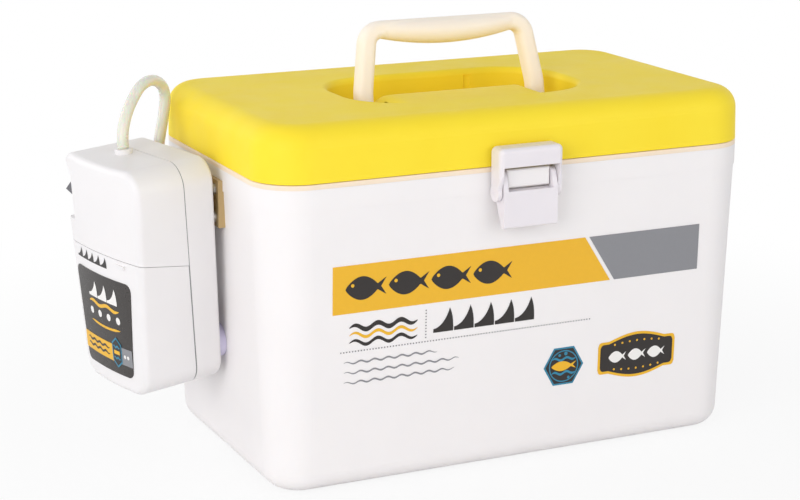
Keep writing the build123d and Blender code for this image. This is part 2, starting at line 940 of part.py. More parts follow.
lever_front_y = -half_width - lever_depth
with BuildPart() as latch_lever:
    with BuildSketch(side_plane_at(latch_x - lever_half)):
        with BuildLine():
            Polyline(
                (latch_pivot_y - lever_ear_radius, latch_pivot_z),
                (lever_front_y, lever_plate_top),
                (lever_front_y, lever_bottom),
                (lever_front_y + lever_lip, lever_bottom),
                (latch_pivot_y + lever_ear_radius, bail_pivot_z - lever_tail),
                (latch_pivot_y + lever_ear_radius, latch_pivot_z),
                close=True,
            )
        make_face()
        with Locations((latch_pivot_y, latch_pivot_z)):
            Circle(lever_ear_radius)
    extrude(amount=2 * lever_half)
    lower_edge = latch_lever.edges().filter_by(Axis.X).group_by(Axis.Z)[0]
    fillet(lower_edge, lever_lip_edge)
    with Locations((latch_x, lever_front_y + lever_plate, lever_bottom)):
        Box(
            2 * (lever_half - lever_flange),
            2 * lever_depth,
            latch_cut,
            align=(Align.CENTER, Align.MIN, Align.CENTER),
            mode=Mode.SUBTRACT,
        )
    with Locations((latch_x, 0, lever_plate_top)):
        Box(
            2 * (lever_half - lever_flange),
            4 * half_width,
            latch_cut,
            align=(Align.CENTER, Align.CENTER, Align.MIN),
            mode=Mode.SUBTRACT,
        )
    for height in (latch_pivot_z, bail_pivot_z):
        with Locations((latch_x, latch_pivot_y, height)):
            Cylinder(
                latch_pin_radius + pin_clearance,
                2 * (lever_half + cut_over),
                rotation=(0, 90, 0),
                mode=Mode.SUBTRACT,
            )
write(latch_lever, "latch_lever")

with BuildPart() as lever_pin:
    with Locations((latch_x, latch_pivot_y, latch_pivot_z)):
        Cylinder(latch_pin_radius, 2 * lever_half, rotation=(0, 90, 0))
write(lever_pin, "lever_pin")

with BuildPart() as bail_pin:
    with Locations((latch_x, latch_pivot_y, bail_pivot_z)):
        Cylinder(latch_pin_radius, 2 * latch_half, rotation=(0, 90, 0))
write(bail_pin, "bail_pin")

# ---------------------------------------------------------------- pump: frame and outline
pump_back_x = -half_length - pump_gap
yaw = math.radians(pump_yaw)
tilt = math.radians(pump_tilt)
level_out = Vector(-math.cos(yaw), -math.sin(yaw), 0)
pump_across = Vector(-math.sin(yaw), math.cos(yaw), 0)
pump_out = level_out * math.cos(tilt) - Vector(0, 0, 1) * math.sin(tilt)
pump_up = Vector(0, 0, 1) * math.cos(tilt) + level_out * math.sin(tilt)
# In this plane x runs across the pump to its far side, y outwards from its back, z up from its top.
pump_plane = Plane(
    origin=(pump_back_x, pump_mid_y, pump_top_z), x_dir=pump_across, z_dir=pump_up
)


# In this plane x runs towards the pump's near side, y up from its top, z outwards from its back.
pump_face = Plane(origin=pump_plane.origin, x_dir=-pump_across, z_dir=pump_out)


def pump_point(across, out, up):
    """A point given in the pump's own frame."""
    return pump_plane.from_local_coords((across, out, up))


def pump_block(inset):
    """The pump's outer form, or its hollow when inset by a wall."""
    top = pump_top_half - inset
    bottom = pump_bottom_half - inset
    depth = pump_depth - inset
    with BuildPart() as block:
        with BuildSketch(pump_face.offset(inset)):
            with BuildLine():
                Polyline(
                    (-bottom, inset - pump_height),
                    (bottom, inset - pump_height),
                    (top, -inset),
                    (-top, -inset),
                    close=True,
                )
            make_face()
            ends = vertices().group_by(Axis.Z)
            fillet(ends[0], pump_bottom_corner - inset)
            fillet(ends[-1], pump_top_corner - inset)
        extrude(amount=pump_depth + pump_bow - 2 * inset)
        # The front bows outwards in plan.
        with BuildSketch(pump_plane.offset(-pump_height)):
            with BuildLine():
                Polyline((-pump_top_half, depth), (-pump_top_half, inset), (pump_top_half, inset))
                Line((pump_top_half, inset), (pump_top_half, depth))
                ThreePointArc((pump_top_half, depth), (0, depth + pump_bow), (-pump_top_half, depth))
            make_face()
        extrude(amount=pump_height, mode=Mode.INTERSECT)
        front_first = block.faces().sort_by(Axis(pump_plane.origin, pump_out))
        fillet(front_first[-1].edges(), pump_front_edge - inset)
        if inset == 0:
            fillet(front_first[0].edges(), pump_back_edge)
    return block.part


def pump_half(drop):
    """Half the pump's width at a depth below its top."""
    return pump_top_half + (pump_bottom_half - pump_top_half) * drop / pump_height


pump_form = pump_block(0)
pump_hollow = pump_block(pump_wall)

# ---------------------------------------------------------------- pump: cases, door, seal
parting_run = math.hypot(pump_height, parting_top - parting_bottom)
parting_normal = (
    pump_out * (pump_height / parting_run)
    - pump_up * ((parting_top - parting_bottom) / parting_run)
)
parting_plane = Plane(
    origin=pump_point(0, parting_top, 0), x_dir=pump_across, z_dir=parting_normal
)
seam_lean = math.radians(door_seam_tilt)
door_plane = Plane(
    origin=pump_point(0, pump_depth / 2, -door_seam_drop),
    x_dir=pump_across,
    z_dir=pump_up * math.cos(seam_lean) - pump_out * math.sin(seam_lean),
)


def pump_box(across, out, up):
    """Block in the pump's frame; each argument is a (low, high) pair."""
    ranges = (across, out, up)
    with BuildPart(pump_plane) as block:
        with Locations(tuple((low + high) / 2 for low, high in ranges)):
            Box(*(high - low for low, high in ranges))
    return block.part


def along_out(radius, start, end, spots):
    """Cylinders that run outwards from the pump's back, each at (across, up)."""
    with BuildPart(pump_plane) as rods:
        for across, up in spots:
            with Locations((across, (start + end) / 2, up)):
                Cylinder(radius, end - start, rotation=(90, 0, 0))
    return rods.part


def along_across(radius, start, end, out, up):
    """Cylinder that runs across the pump."""
    with BuildPart(pump_plane) as rod:
        with Locations(((start + end) / 2, out, up)):
            Cylinder(radius, end - start, rotation=(0, 90, 0))
    return rod.part


def along_up(radius, start, end, across, out):
    """Cylinder that runs up the pump."""
    with BuildPart(pump_plane) as rod:
        with Locations((across, out, (start + end) / 2)):
            Cylinder(radius, end - start)
    return rod.part


case_screw_spots = [
    (side * (pump_top_half - case_screw_inset), -case_screw_drop) for side in (-1, 1)
]
cradle_screw_spots = [
    (side * (pump_bottom_half - cradle_screw_inset), cradle_screw_rise - pump_height)
    for side in (-1, 1)
]
all_case_screws = case_screw_spots + cradle_screw_spots
case_screw_end = case_screw_sink + case_screw_length
case_screws_form = along_out(case_screw_radius, case_screw_sink, case_screw_end, all_case_screws)
case_heads_form = along_out(
    case_screw_head, -case_screw_sink, case_screw_sink, all_case_screws
)
post_start = pump_wall + pin_clearance

with BuildPart() as pump_back_case:
    add(pump_form)
    add(pump_hollow, mode=Mode.SUBTRACT)
    split(bisect_by=parting_plane, keep=Keep.BOTTOM)
    add(case_screws_form, mode=Mode.SUBTRACT)
    add(case_heads_form, mode=Mode.SUBTRACT)
    # Belt-clip tongue: a root on the back and a flat tongue hanging from it.
    with BuildSketch(
        Plane(
            origin=pump_point(-tongue_width / 2, 0, 0), x_dir=pump_out, z_dir=pump_across
        )
    ):
        tongue_inner = -(2 * hanger_slack + hanger_plate)
        tongue_outer = tongue_inner - tongue_thickness
        tongue_root_bottom = tongue_root_drop + tongue_root_height
        with BuildLine():
            Polyline(
                (pump_wall / 2, -tongue_root_drop),
                (pump_wall / 2, -tongue_root_bottom),
                (tongue_inner, -tongue_root_bottom),
                (tongue_inner, -tongue_root_bottom - tongue_length),
                (tongue_outer, tongue_bevel - tongue_root_bottom - tongue_length),
                (tongue_outer, -tongue_root_drop - tongue_bevel),
                (tongue_outer + tongue_bevel, -tongue_root_drop),
                close=True,
            )
        make_face()
    extrude(amount=tongue_width)
write(pump_back_case, "pump_back_case")

# The switch sits on a facet cut across the far front corner, halfway between side and front.
facet_normal = (pump_out + pump_across) * math.sqrt(0.5)
facet_back = (pump_across - pump_out) * math.sqrt(0.5)
facet_corner = pump_point(pump_half(switch_drop), pump_depth, -switch_drop)
# In this plane x runs up the pump, y towards its back and z out of the facet.
switch_plane = Plane(
    origin=facet_corner - facet_normal * switch_facet, x_dir=pump_up, z_dir=facet_normal
)
# In this plane x runs up the pump and y out of the facet.
switch_side = Plane(origin=switch_plane.origin, x_dir=pump_up, z_dir=-facet_back)
bezel_width = switch_width - 2 * running_gap
bezel_length = switch_length - 2 * running_gap
throat_width = rocker_width + 2 * rocker_side_gap
throat_length = rocker_length + 2 * rocker_end_gap
rocker_pivot_depth = pump_wall + rocker_pivot_radius + pin_clearance + rocker_pivot_wall
rocker_pin_half = (throat_width + rocker_pin_bite) / 2


def switch_block(low, high, width, length):
    """Block centred on the switch, between two heights over its facet."""
    with BuildPart(switch_plane) as block:
        with Locations((0, 0, (low + high) / 2)):
            Box(length, width, high - low)
    return block.part


def switch_recess(grow):
    """Space cut into the corner over the facet, or with grow its lining as well."""
    upper_end = switch_length / 2 + grow
    lower_end = -switch_length / 2 - switch_recess_foot - grow
    rim_height = 2 * switch_facet
    with BuildPart() as space:
        with BuildSketch(switch_side):
            with BuildLine():
                Polyline(
                    (lower_end, -grow),
                    (upper_end, -grow),
                    (upper_end + switch_recess_ramp * rim_height, rim_height),
                    (lower_end, rim_height),
                    close=True,
                )
            make_face()
        extrude(amount=2 * switch_width, both=True)
    return space.part


def rocker_pin(radius, half_reach):
    """Pivot of the rocker, across the switch."""
    with BuildPart(switch_plane) as pin:
        with Locations((0, 0, -rocker_pivot_depth)):
            Cylinder(radius, 2 * half_reach, rotation=(90, 0, 0))
    return pin.part


with BuildPart() as switch_pad:
    add(switch_recess(pump_wall))
    add(pump_form, mode=Mode.INTERSECT)

with BuildPart() as pump_front_case:
    add(pump_form)
    add(pump_hollow, mode=Mode.SUBTRACT)
    split(bisect_by=parting_plane.offset(seal_thickness), keep=Keep.TOP)
    split(bisect_by=door_plane.offset(door_gap / 2), keep=Keep.TOP)
    # Screw posts run from the front wall back to the other half.
    add(along_out(case_post_radius, post_start, pump_depth + case_post_bite, case_screw_spots))
    add(case_screws_form, mode=Mode.SUBTRACT)
    # Hole for the outlet.
    add(
        along_up(nipple_stem_radius + pin_clearance, -2 * pump_wall, 1, nipple_across, nipple_out),
        mode=Mode.SUBTRACT,
    )
    # Pad, recess and throat for the switch.
    add(switch_pad.part)
    add(switch_recess(0), mode=Mode.SUBTRACT)
    add(
        switch_block(-2 * pump_wall, pump_wall, throat_width, throat_length),
        mode=Mode.SUBTRACT,
    )
write(pump_front_case, "pump_front_case")

with BuildPart() as battery_door:
    add(pump_form)
    add(pump_hollow, mode=Mode.SUBTRACT)
    split(bisect_by=parting_plane.offset(seal_thickness + door_gap), keep=Keep.TOP)
    split(bisect_by=door_plane.offset(-door_gap / 2), keep=Keep.BOTTOM)
    # Thumb ridge just under the seam.
    ridge_out = pump_depth + pump_bow * (1 - (thumb_ridge_across / pump_top_half) ** 2)
    add(
        pump_box(
            (thumb_ridge_across - thumb_ridge_half, thumb_ridge_across + thumb_ridge_half),
            (ridge_out - pump_wall / 2, ridge_out + thumb_ridge_rise),
            (-thumb_ridge_drop - thumb_ridge_rise, -thumb_ridge_drop + thumb_ridge_rise),
        )
    )
write(battery_door, "battery_door")

with BuildPart() as case_seal:
    add(pump_block(seal_inset))
    add(pump_hollow, mode=Mode.SUBTRACT)
    split(bisect_by=parting_plane, keep=Keep.TOP)
    split(bisect_by=parting_plane.offset(seal_thickness), keep=Keep.BOTTOM)
write(case_seal, "case_seal")

with BuildPart() as case_screws:
    add(case_screws_form)
    add(
        along_out(
            case_screw_head - pin_clearance, pin_clearance, case_screw_sink, all_case_screws
        )
    )
write(case_screws, "case_screws")

# Printed label, wrapped on the bowed front of the door.
label_drop = door_seam_drop + label_seam_gap
label_bottom = pump_height - label_rise
label_top_half = pump_half(label_drop) - label_top_margin
label_bottom_half = pump_half(label_bottom) - label_bottom_margin
with BuildPart() as pump_label:
    with BuildSketch(pump_plane.offset(-label_bottom)):
        with BuildLine():
            bow_top = pump_depth + pump_bow
            outer = [(side * pump_top_half, pump_depth + label_thickness) for side in (1, -1)]
            ThreePointArc((-pump_top_half, pump_depth), (0, bow_top), (pump_top_half, pump_depth))
            Line((pump_top_half, pump_depth), outer[0])
            ThreePointArc(outer[0], (0, bow_top + label_thickness), outer[1])
            Line(outer[1], (-pump_top_half, pump_depth))
        make_face()
    extrude(amount=label_bottom - label_drop)
    with BuildSketch(pump_face):
        with BuildLine():
            Polyline(
                (-label_top_half - label_across, -label_drop),
                (label_top_half - label_across, -label_drop),
                (label_bottom_half - label_across, -label_bottom),
                (-label_bottom_half - label_across, -label_bottom),
                close=True,
            )
        make_face()
        fillet(vertices(), label_corner)
    extrude(amount=2 * pump_depth, mode=Mode.INTERSECT)
write(pump_label, "pump_label")

# Rubber feet between the pump's back and the wall, cut parallel to the wall.
wall_slope = math.radians(body_draft)
wall_out = Vector(-math.cos(wall_slope), 0, -math.sin(wall_slope))
wall_plane = Plane(origin=(collar_step - half_length, 0, collar_bottom), z_dir=wall_out)
with BuildPart() as wall_bumpers:
    bumper_spots = [(side * bumper_across, bumper_rise - pump_height) for side in (-1, 1)]
    add(along_out(bumper_radius, -pump_depth, 0, bumper_spots))
    split(bisect_by=wall_plane.offset(bumper_gap), keep=Keep.TOP)
write(wall_bumpers, "wall_bumpers")

# ---------------------------------------------------------------- pump: batteries and contacts
cradle_floor = cradle_floor_rise - pump_height
contact_top = cradle_floor + contact_thickness
cell_middle = cell_radius + cell_gap / 2
stack_top = contact_top + cell_length + cell_nub
ceiling_bottom = stack_top + contact_thickness
cradle_half = 2 * cell_radius - cradle_side_inset

with BuildPart() as battery_cradle:
    # Floor, ceiling and back, with screw posts at the lower corners.
    add(
        pump_box(
            (-cradle_half, cradle_half),
            (post_start, cell_out + cell_radius / 2),
            (cradle_floor - cradle_wall, cradle_floor),
        )
    )
    add(
        pump_box(
            (-cradle_half, cradle_half),
            (post_start, cell_out + cell_radius / 2),
            (ceiling_bottom, ceiling_bottom + cradle_wall),
        )
    )
    add(
        pump_box(
            (-cradle_half, cradle_half),
            (post_start, post_start + cradle_wall),
            (cradle_floor - cradle_wall, ceiling_bottom + cradle_wall),
        )
    )
    add(along_out(cradle_post_radius, post_start, cradle_post_end, cradle_screw_spots))
    add(case_screws_form, mode=Mode.SUBTRACT)
write(battery_cradle, "battery_cradle")

with BuildPart() as battery_cells:
    # The near cell stands nub up, the far one nub down, so the two are in series.
    add(along_up(cell_radius, contact_top, contact_top + cell_length, -cell_middle, cell_out))
    add(along_up(cell_nub_radius, contact_top, stack_top, -cell_middle, cell_out))
    add(along_up(cell_radius, contact_top + cell_nub, stack_top, cell_middle, cell_out))
    add(along_up(cell_nub_radius, contact_top, stack_top, cell_middle, cell_out))
write(battery_cells, "battery_cells")

with BuildPart() as lower_contact:
    add(
        pump_box(
            (-cell_middle - contact_half, cell_middle + contact_half),
            (cell_out - contact_half, cell_out + contact_half),
            (cradle_floor, contact_top),
        )
    )
write(lower_contact, "lower_contact")

with BuildPart() as upper_contacts:
    for side in (-1, 1):
        add(
            pump_box(
                (side * cell_middle - contact_half, side * cell_middle + contact_half),
                (cell_out - contact_half, cell_out + contact_half),
                (stack_top, ceiling_bottom),
            )
        )
write(upper_contacts, "upper_contacts")

# ---------------------------------------------------------------- pump: motor and air works
motor_start = motor_middle - motor_length / 2
motor_end = motor_middle + motor_length / 2
cam_start = motor_end + motor_boss + running_gap
cam_end = cam_start + cam_width
yoke_start = nipple_across - yoke_thickness / 2
yoke_end = nipple_across + yoke_thickness / 2
shaft_start = motor_end - shaft_grip
valve_top = -pump_wall - running_gap
valve_bottom = valve_top - valve_height
diaphragm_bottom = valve_bottom - diaphragm_height
crank_reach = crank_throw + crank_pin_radius + running_gap

with BuildPart() as motor:
    add(along_across(motor_radius, motor_start, motor_end, motor_out, -motor_drop))
    add(along_across(motor_boss_radius, motor_end, motor_end + motor_boss, motor_out, -motor_drop))
    add(
        along_across(
            shaft_radius + pin_clearance,
            shaft_start - running_gap,
            motor_end + motor_boss,
            motor_out,
            -motor_drop,
        ),
        mode=Mode.SUBTRACT,
    )
write(motor, "motor")

with BuildPart() as motor_shaft:
    add(along_across(shaft_radius, shaft_start, cam_end, motor_out, -motor_drop))
write(motor_shaft, "motor_shaft")

with BuildPart() as crank_cam:
    add(along_across(cam_radius, cam_start, cam_end, motor_out, -motor_drop))
    add(
        along_across(
            crank_pin_radius,
            cam_end,
            yoke_end + crank_pin_proud,
            motor_out + crank_throw,
            -motor_drop,
        )
    )
    add(
        along_across(shaft_radius, cam_start, cam_end, motor_out, -motor_drop),
        mode=Mode.SUBTRACT,
    )
write(crank_cam, "crank_cam")

clamp_half = motor_radius + clamp_wall
with BuildPart() as motor_clamp:
    # Saddle from the back wall to the motor's middle.
    add(
        pump_box(
            (motor_start + clamp_inset, motor_end - clamp_inset),
            (post_start, motor_out),
            (-motor_drop - clamp_half, -motor_drop + clamp_half),
        )
    )
    add(
        along_across(
            motor_radius + pin_clearance, motor_start, motor_end, motor_out, -motor_drop
        ),
        mode=Mode.SUBTRACT,
    )
write(motor_clamp, "motor_clamp")

with BuildPart() as valve_head:
    add(
        pump_box(
            (nipple_across - valve_length / 2, nipple_across + valve_length / 2),
            (nipple_out - valve_width / 2, nipple_out + valve_width / 2),
            (valve_bottom, valve_top),
        )
    )
    add(
        along_up(nipple_bore, valve_bottom, valve_top, nipple_across, nipple_out),
        mode=Mode.SUBTRACT,
    )
write(valve_head, "valve_head")

with BuildPart() as diaphragm:
    for height, radius in (
        (valve_bottom, diaphragm_radius),
        (diaphragm_bottom, diaphragm_radius - diaphragm_cone),
    ):
        with BuildSketch(pump_plane.offset(height)):
            with Locations((nipple_across, nipple_out)):
                Circle(radius)
    loft()
write(diaphragm, "diaphragm")

with BuildPart() as yoke:
    add(
        pump_box(
            (yoke_start, yoke_end),
            (nipple_out - yoke_width / 2, nipple_out + yoke_width / 2),
            (-motor_drop - crank_reach - yoke_foot, diaphragm_bottom),
        )
    )
    add(
        pump_box(
            (yoke_start - cut_over, yoke_end + cut_over),
            (motor_out - crank_reach, motor_out + crank_reach),
            (-motor_drop - crank_reach, -motor_drop + crank_reach),
        ),
        mode=Mode.SUBTRACT,
    )
write(yoke, "yoke")

# Outlet: a stem through the top, a collar on it and a spigot inside the air tube.
nipple_top = nipple_collar + spigot_length
with BuildPart() as outlet_nipple:
    add(along_up(nipple_stem_radius, valve_top, 0, nipple_across, nipple_out))
    add(along_up(nipple_collar_radius, 0, nipple_collar, nipple_across, nipple_out))
    add(along_up(spigot_radius, nipple_collar, nipple_top, nipple_across, nipple_out))
    add(
        along_up(
            nipple_bore,
            valve_top - cut_over,
            nipple_top + cut_over,
            nipple_across,
            nipple_out,
        ),
        mode=Mode.SUBTRACT,
    )
write(outlet_nipple, "outlet_nipple")

# ---------------------------------------------------------------- pump: switch
with BuildPart() as switch_bezel:
    add(switch_block(0, bezel_thickness, bezel_width, bezel_length))
    add(
        switch_block(-pump_wall, pump_wall, throat_width, throat_length),
        mode=Mode.SUBTRACT,
    )
write(switch_bezel, "switch_bezel")

with BuildPart() as switch_body:
    body_bottom = -pump_wall - switch_body_depth
    add(switch_block(body_bottom, -pump_wall, switch_body_width, bezel_length))
    add(
        switch_block(-switch_body_depth, pump_wall, throat_width, throat_length),
        mode=Mode.SUBTRACT,
    )
    add(
        rocker_pin(rocker_pivot_radius + pin_clearance, rocker_pin_half),
        mode=Mode.SUBTRACT,
    )
write(switch_body, "switch_body")

with BuildPart() as switch_rocker:
    # Seen along its pivot: a shallow V, with its upper end standing out.
    rocker_half = rocker_length / 2
    with BuildSketch(switch_side.offset(-rocker_width / 2)):
        with Locations((0, -rocker_pivot_depth)):
            Polygon(
                (-rocker_back, -rocker_back),
                (rocker_back, -rocker_back),
                (rocker_half - rocker_bevel, rocker_valley),
                (rocker_half - rocker_bevel, rocker_shoulder),
                (rocker_half - rocker_tip_inset, rocker_rise),
                (-rocker_valley_shift, rocker_valley),
                (rocker_bevel - rocker_half, rocker_low),
                (-rocker_half, rocker_toe),
                align=None,
            )
    extrude(amount=rocker_width)
    add(rocker_pin(rocker_pivot_radius, rocker_pin_half - pin_clearance))
write(switch_rocker, "switch_rocker")

# ---------------------------------------------------------------- pump hanger on the wall
hanger_top = -(tongue_root_bottom + hanger_slack)
hanger_bottom = hanger_top - hanger_height
with BuildPart() as wall_block:
    add(shell_outside)
    with BuildSketch(Plane.XY.offset(collar_bottom)):
        RectangleRounded(box_length, box_width, plan_corner)
    extrude(amount=rim_bottom - collar_bottom)

with BuildPart() as pump_hanger:
    # Front plate that the tongue hangs behind, and an arm at each end of it.
    add(
        pump_box(
            (hanger_near, hanger_far),
            (-hanger_slack - hanger_plate, -hanger_slack),
            (hanger_bottom, hanger_top),
        )
    )
    for arm_start in (hanger_near, hanger_far - hanger_arm):
        add(
            pump_box(
                (arm_start, arm_start + hanger_arm),
                (-pump_depth, -hanger_slack),
                (hanger_bottom, hanger_top),
            )
        )
    # Base plate on the wall.
    hanger_base_mid_y = (hanger_base_near + hanger_base_far) / 2
    with Locations((-half_length, hanger_base_mid_y, hanger_mid_z)):
        Box(
            2 * hanger_base_thickness,
            hanger_base_far - hanger_base_near,
            hanger_base_height,
        )
    add(wall_block.part, mode=Mode.SUBTRACT)
    add(hanger_screw_drill.part, mode=Mode.SUBTRACT)
write(pump_hanger, "pump_hanger")

with BuildPart() as hanger_screws:
    add(hanger_screw_drill.part)
    for spot_y, spot_z in hanger_screw_spots:
        with Locations((hanger_face_x - hanger_screw_rise / 2, spot_y, spot_z)):
            Cylinder(hanger_screw_head, hanger_screw_rise, rotation=(0, 90, 0))
write(hanger_screws, "hanger_screws")

# ---------------------------------------------------------------- air line: port through the wall
port_x = -half_length - port_reach
inner_drop_x = inner_drop_inset - well_length / 2
stone_x = stone_inset - well_length / 2


def along_x(radius, start, end, y, z):
    """Cylinder that runs along x."""
    with BuildPart() as rod:
        with Locations(((start + end) / 2, y, z)):
            Cylinder(radius, end - start, rotation=(0, 90, 0))
    return rod.part


def along_z(radius, start, end, x, y):
    """Upright cylinder."""
    with BuildPart() as rod:
        with Locations((x, y, (start + end) / 2)):
            Cylinder(radius, end - start)
    return rod.part


# Inner face of the well's left wall at the port, and what stands on it.
port_wall_lean = (seam_height - port_z) * math.tan(math.radians(well_draft))
port_wall_x = port_wall_lean - well_length / 2
washer_face_x = port_wall_x + washer_thickness
nut_face_x = washer_face_x + port_nut
stem_end_x = nut_face_x + stem_reach
spigot_top_z = port_shoulder_z + spigot_length

with BuildPart() as port_flange_form:
    flange_face_x = -half_length - port_flange
    add(along_x(port_flange_radius, flange_face_x, port_flange - half_length, port_y, port_z))
    add(wall_block.part, mode=Mode.SUBTRACT)

with BuildPart() as port_elbow:
    add(port_flange_form.part)
    add(along_x(elbow_stem_radius, port_x, stem_end_x, port_y, port_z))
    add(along_x(elbow_radius, port_x, flange_face_x, port_y, port_z))
    add(along_z(elbow_radius, port_z, port_shoulder_z, port_x, port_y))
    with Locations((port_x, port_y, port_z)):
        Sphere(elbow_radius)
    add(along_z(spigot_radius, port_shoulder_z, spigot_top_z, port_x, port_y))
    bore_top_z = spigot_top_z + cut_over
    bore_end_x = stem_end_x + cut_over
    add(along_z(nipple_bore, port_z, bore_top_z, port_x, port_y), mode=Mode.SUBTRACT)
    add(along_x(nipple_bore, port_x, bore_end_x, port_y, port_z), mode=Mode.SUBTRACT)
write(port_elbow, "port_elbow")

with BuildPart() as port_washer:
    add(along_x(port_washer_radius, port_wall_x - liner_wall / 2, washer_face_x, port_y, port_z))
    add(inner_liner.part, mode=Mode.SUBTRACT)
    add(port_drill.part, mode=Mode.SUBTRACT)
write(port_washer, "port_washer")

with BuildPart() as port_nut_piece:
    with BuildSketch(Plane(origin=(washer_face_x, port_y, port_z), z_dir=(1, 0, 0))):
        RegularPolygon(port_nut_radius, 6)
    extrude(amount=port_nut)
    add(port_drill.part, mode=Mode.SUBTRACT)
write(port_nut_piece, "port_nut")

inner_shoulder_z = port_z - inner_elbow_drop
with BuildPart() as inner_elbow:
    socket_start_x = nut_face_x + running_gap
    socket_end_x = stem_end_x + socket_wall
    add(along_x(elbow_radius + socket_wall, socket_start_x, socket_end_x, port_y, port_z))
    add(along_x(elbow_radius, stem_end_x, inner_drop_x, port_y, port_z))
    add(along_z(elbow_radius, inner_shoulder_z, port_z, inner_drop_x, port_y))
    with Locations((inner_drop_x, port_y, port_z)):
        Sphere(elbow_radius)
    inner_spigot_end_z = inner_shoulder_z - spigot_length
    add(along_z(spigot_radius, inner_spigot_end_z, inner_shoulder_z, inner_drop_x, port_y))
    add(
        along_x(port_stem_hole, nut_face_x, stem_end_x + pin_clearance, port_y, port_z),
        mode=Mode.SUBTRACT,
    )
    add(along_x(nipple_bore, stem_end_x, inner_drop_x, port_y, port_z), mode=Mode.SUBTRACT)
    add(
        along_z(nipple_bore, inner_spigot_end_z - cut_over, port_z, inner_drop_x, port_y),
        mode=Mode.SUBTRACT,
    )
write(inner_elbow, "inner_elbow")

stone_bottom = well_floor + stone_floor_gap
stone_top = stone_bottom + stone_length
fitting_top = stone_top + stone_fitting_height
with BuildPart() as air_stone:
    add(along_z(stone_radius, stone_bottom, stone_top, stone_x, stone_y))
    fillet(air_stone.edges().filter_by(GeomType.CIRCLE), stone_edge)
write(air_stone, "air_stone")

with BuildPart() as stone_fitting:
    add(along_z(elbow_radius, stone_top, fitting_top, stone_x, stone_y))
    fitting_end = fitting_top + spigot_length
    add(along_z(spigot_radius, fitting_top, fitting_end, stone_x, stone_y))
    add(
        along_z(nipple_bore, stone_top, fitting_end + cut_over, stone_x, stone_y),
        mode=Mode.SUBTRACT,
    )
write(stone_fitting, "stone_fitting")


# ---------------------------------------------------------------- air line: the two tubes
def tube_along(points):
    """Tube whose centre line is straight runs joined by arcs, and the radii of the arcs."""
    corners = [Vector(*point) for point in points]
    bends = []
    for before, corner, after in zip(corners, corners[1:], corners[2:]):
        run_in = corner - before
        run_out = after - corner
        half_turn = math.radians(run_in.get_angle(run_out)) / 2
        bends.append(bend_share * min(run_in.length, run_out.length) / math.tan(half_turn))
    with BuildPart() as tube:
        with BuildLine() as route:
            FilletPolyline(*corners, radius=bends)
        with BuildSketch(Plane(origin=corners[0], z_dir=corners[1] - corners[0])):
            Circle(tube_radius)
            Circle(tube_bore, mode=Mode.SUBTRACT)
        sweep(path=route.line)
    section = math.pi * (tube_radius**2 - tube_bore**2)
    length = sum(edge.length for edge in route.line.edges())
    print("bend radii", [round(bend, 1) for bend in bends])
    print("length", round(length, 1), "volume ratio", tube.part.volume / (section * length))
    return tube


# From the outlet up, over and down behind the pump to the port.
tube_start = pump_point(nipple_across, nipple_out, nipple_collar)
air_tube_route = [
    tuple(tube_start),
    tuple(tube_start + pump_up * tube_start_run),
    (-208.2, 22.8, 218.5),
    (-202.3, 28.9, 225.3),
    (-194.6, 36.8, 232.0),
    (-183.8, 47.9, 233.5),
    (-174.1, 58.0, 228.8),
    (-169.9, 62.3, 220.5),
    (-172.3, 59.8, 208.5),
    (-176.5, 55.5, 197.0),
    (port_x, port_y, 187.0),
    (port_x, port_y, port_shoulder_z),
]
write(tube_along(air_tube_route), "air_tube")

# From the inner elbow down to the stone.
inner_tube_route = [
    (inner_drop_x, port_y, inner_shoulder_z),
    (inner_drop_x, port_y, 134.0),
    (-128.5, 52.2, 110.0),
    (stone_x, stone_y, 86.0),
    (stone_x, stone_y, fitting_top),
]
write(tube_along(inner_tube_route), "inner_air_tube")

# ---------------------------------------------------------------- printed marks on the front
band_left = band_left_inset - half_length
band_right = half_length - band_right_inset
print_plane = Plane(
    origin=(0, collar_step - half_width, collar_bottom),
    x_dir=(1, 0, 0),
    z_dir=(0, -math.cos(wall_slope), -math.sin(wall_slope)),
)


def mark(outline):
    """Thin printed patch on the front wall; the outline's points are (x, z)."""
    with BuildPart() as patch:
        with BuildSketch(print_plane):
            with BuildLine():
                Polyline(
                    *[(x, (z - collar_bottom) / math.cos(wall_slope)) for x, z in outline],
                    close=True,
                )
            make_face()
        extrude(amount=mark_thickness)
    return patch


write(
    mark(
        [
            (band_left, band_bottom_z),
            (band_cut_bottom, band_bottom_z),
            (band_cut_top, band_top_z),
            (band_left, band_top_z),
        ]
    ),
    "front_band_amber",
)
write(
    mark(
        [
            (band_cut_bottom + band_cut_gap, band_bottom_z),
            (band_right, band_bottom_z),
            (band_right, band_top_z),
            (band_cut_top + band_cut_gap, band_top_z),
        ]
    ),
    "front_band_grey",
)
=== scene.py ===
# %% [markdown]
# # An aerated live bait box, dressed for its picture
#
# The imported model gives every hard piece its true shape. This notebook gives each
# piece the look of what it is made of: moulded polyethylene, milky polypropylene,
# clear vinyl hose, brushed steel, rubber and printed vinyl. It adds what is too fine
# or too soft for the solids: the hoses' smooth lines and the printed marks.

import math

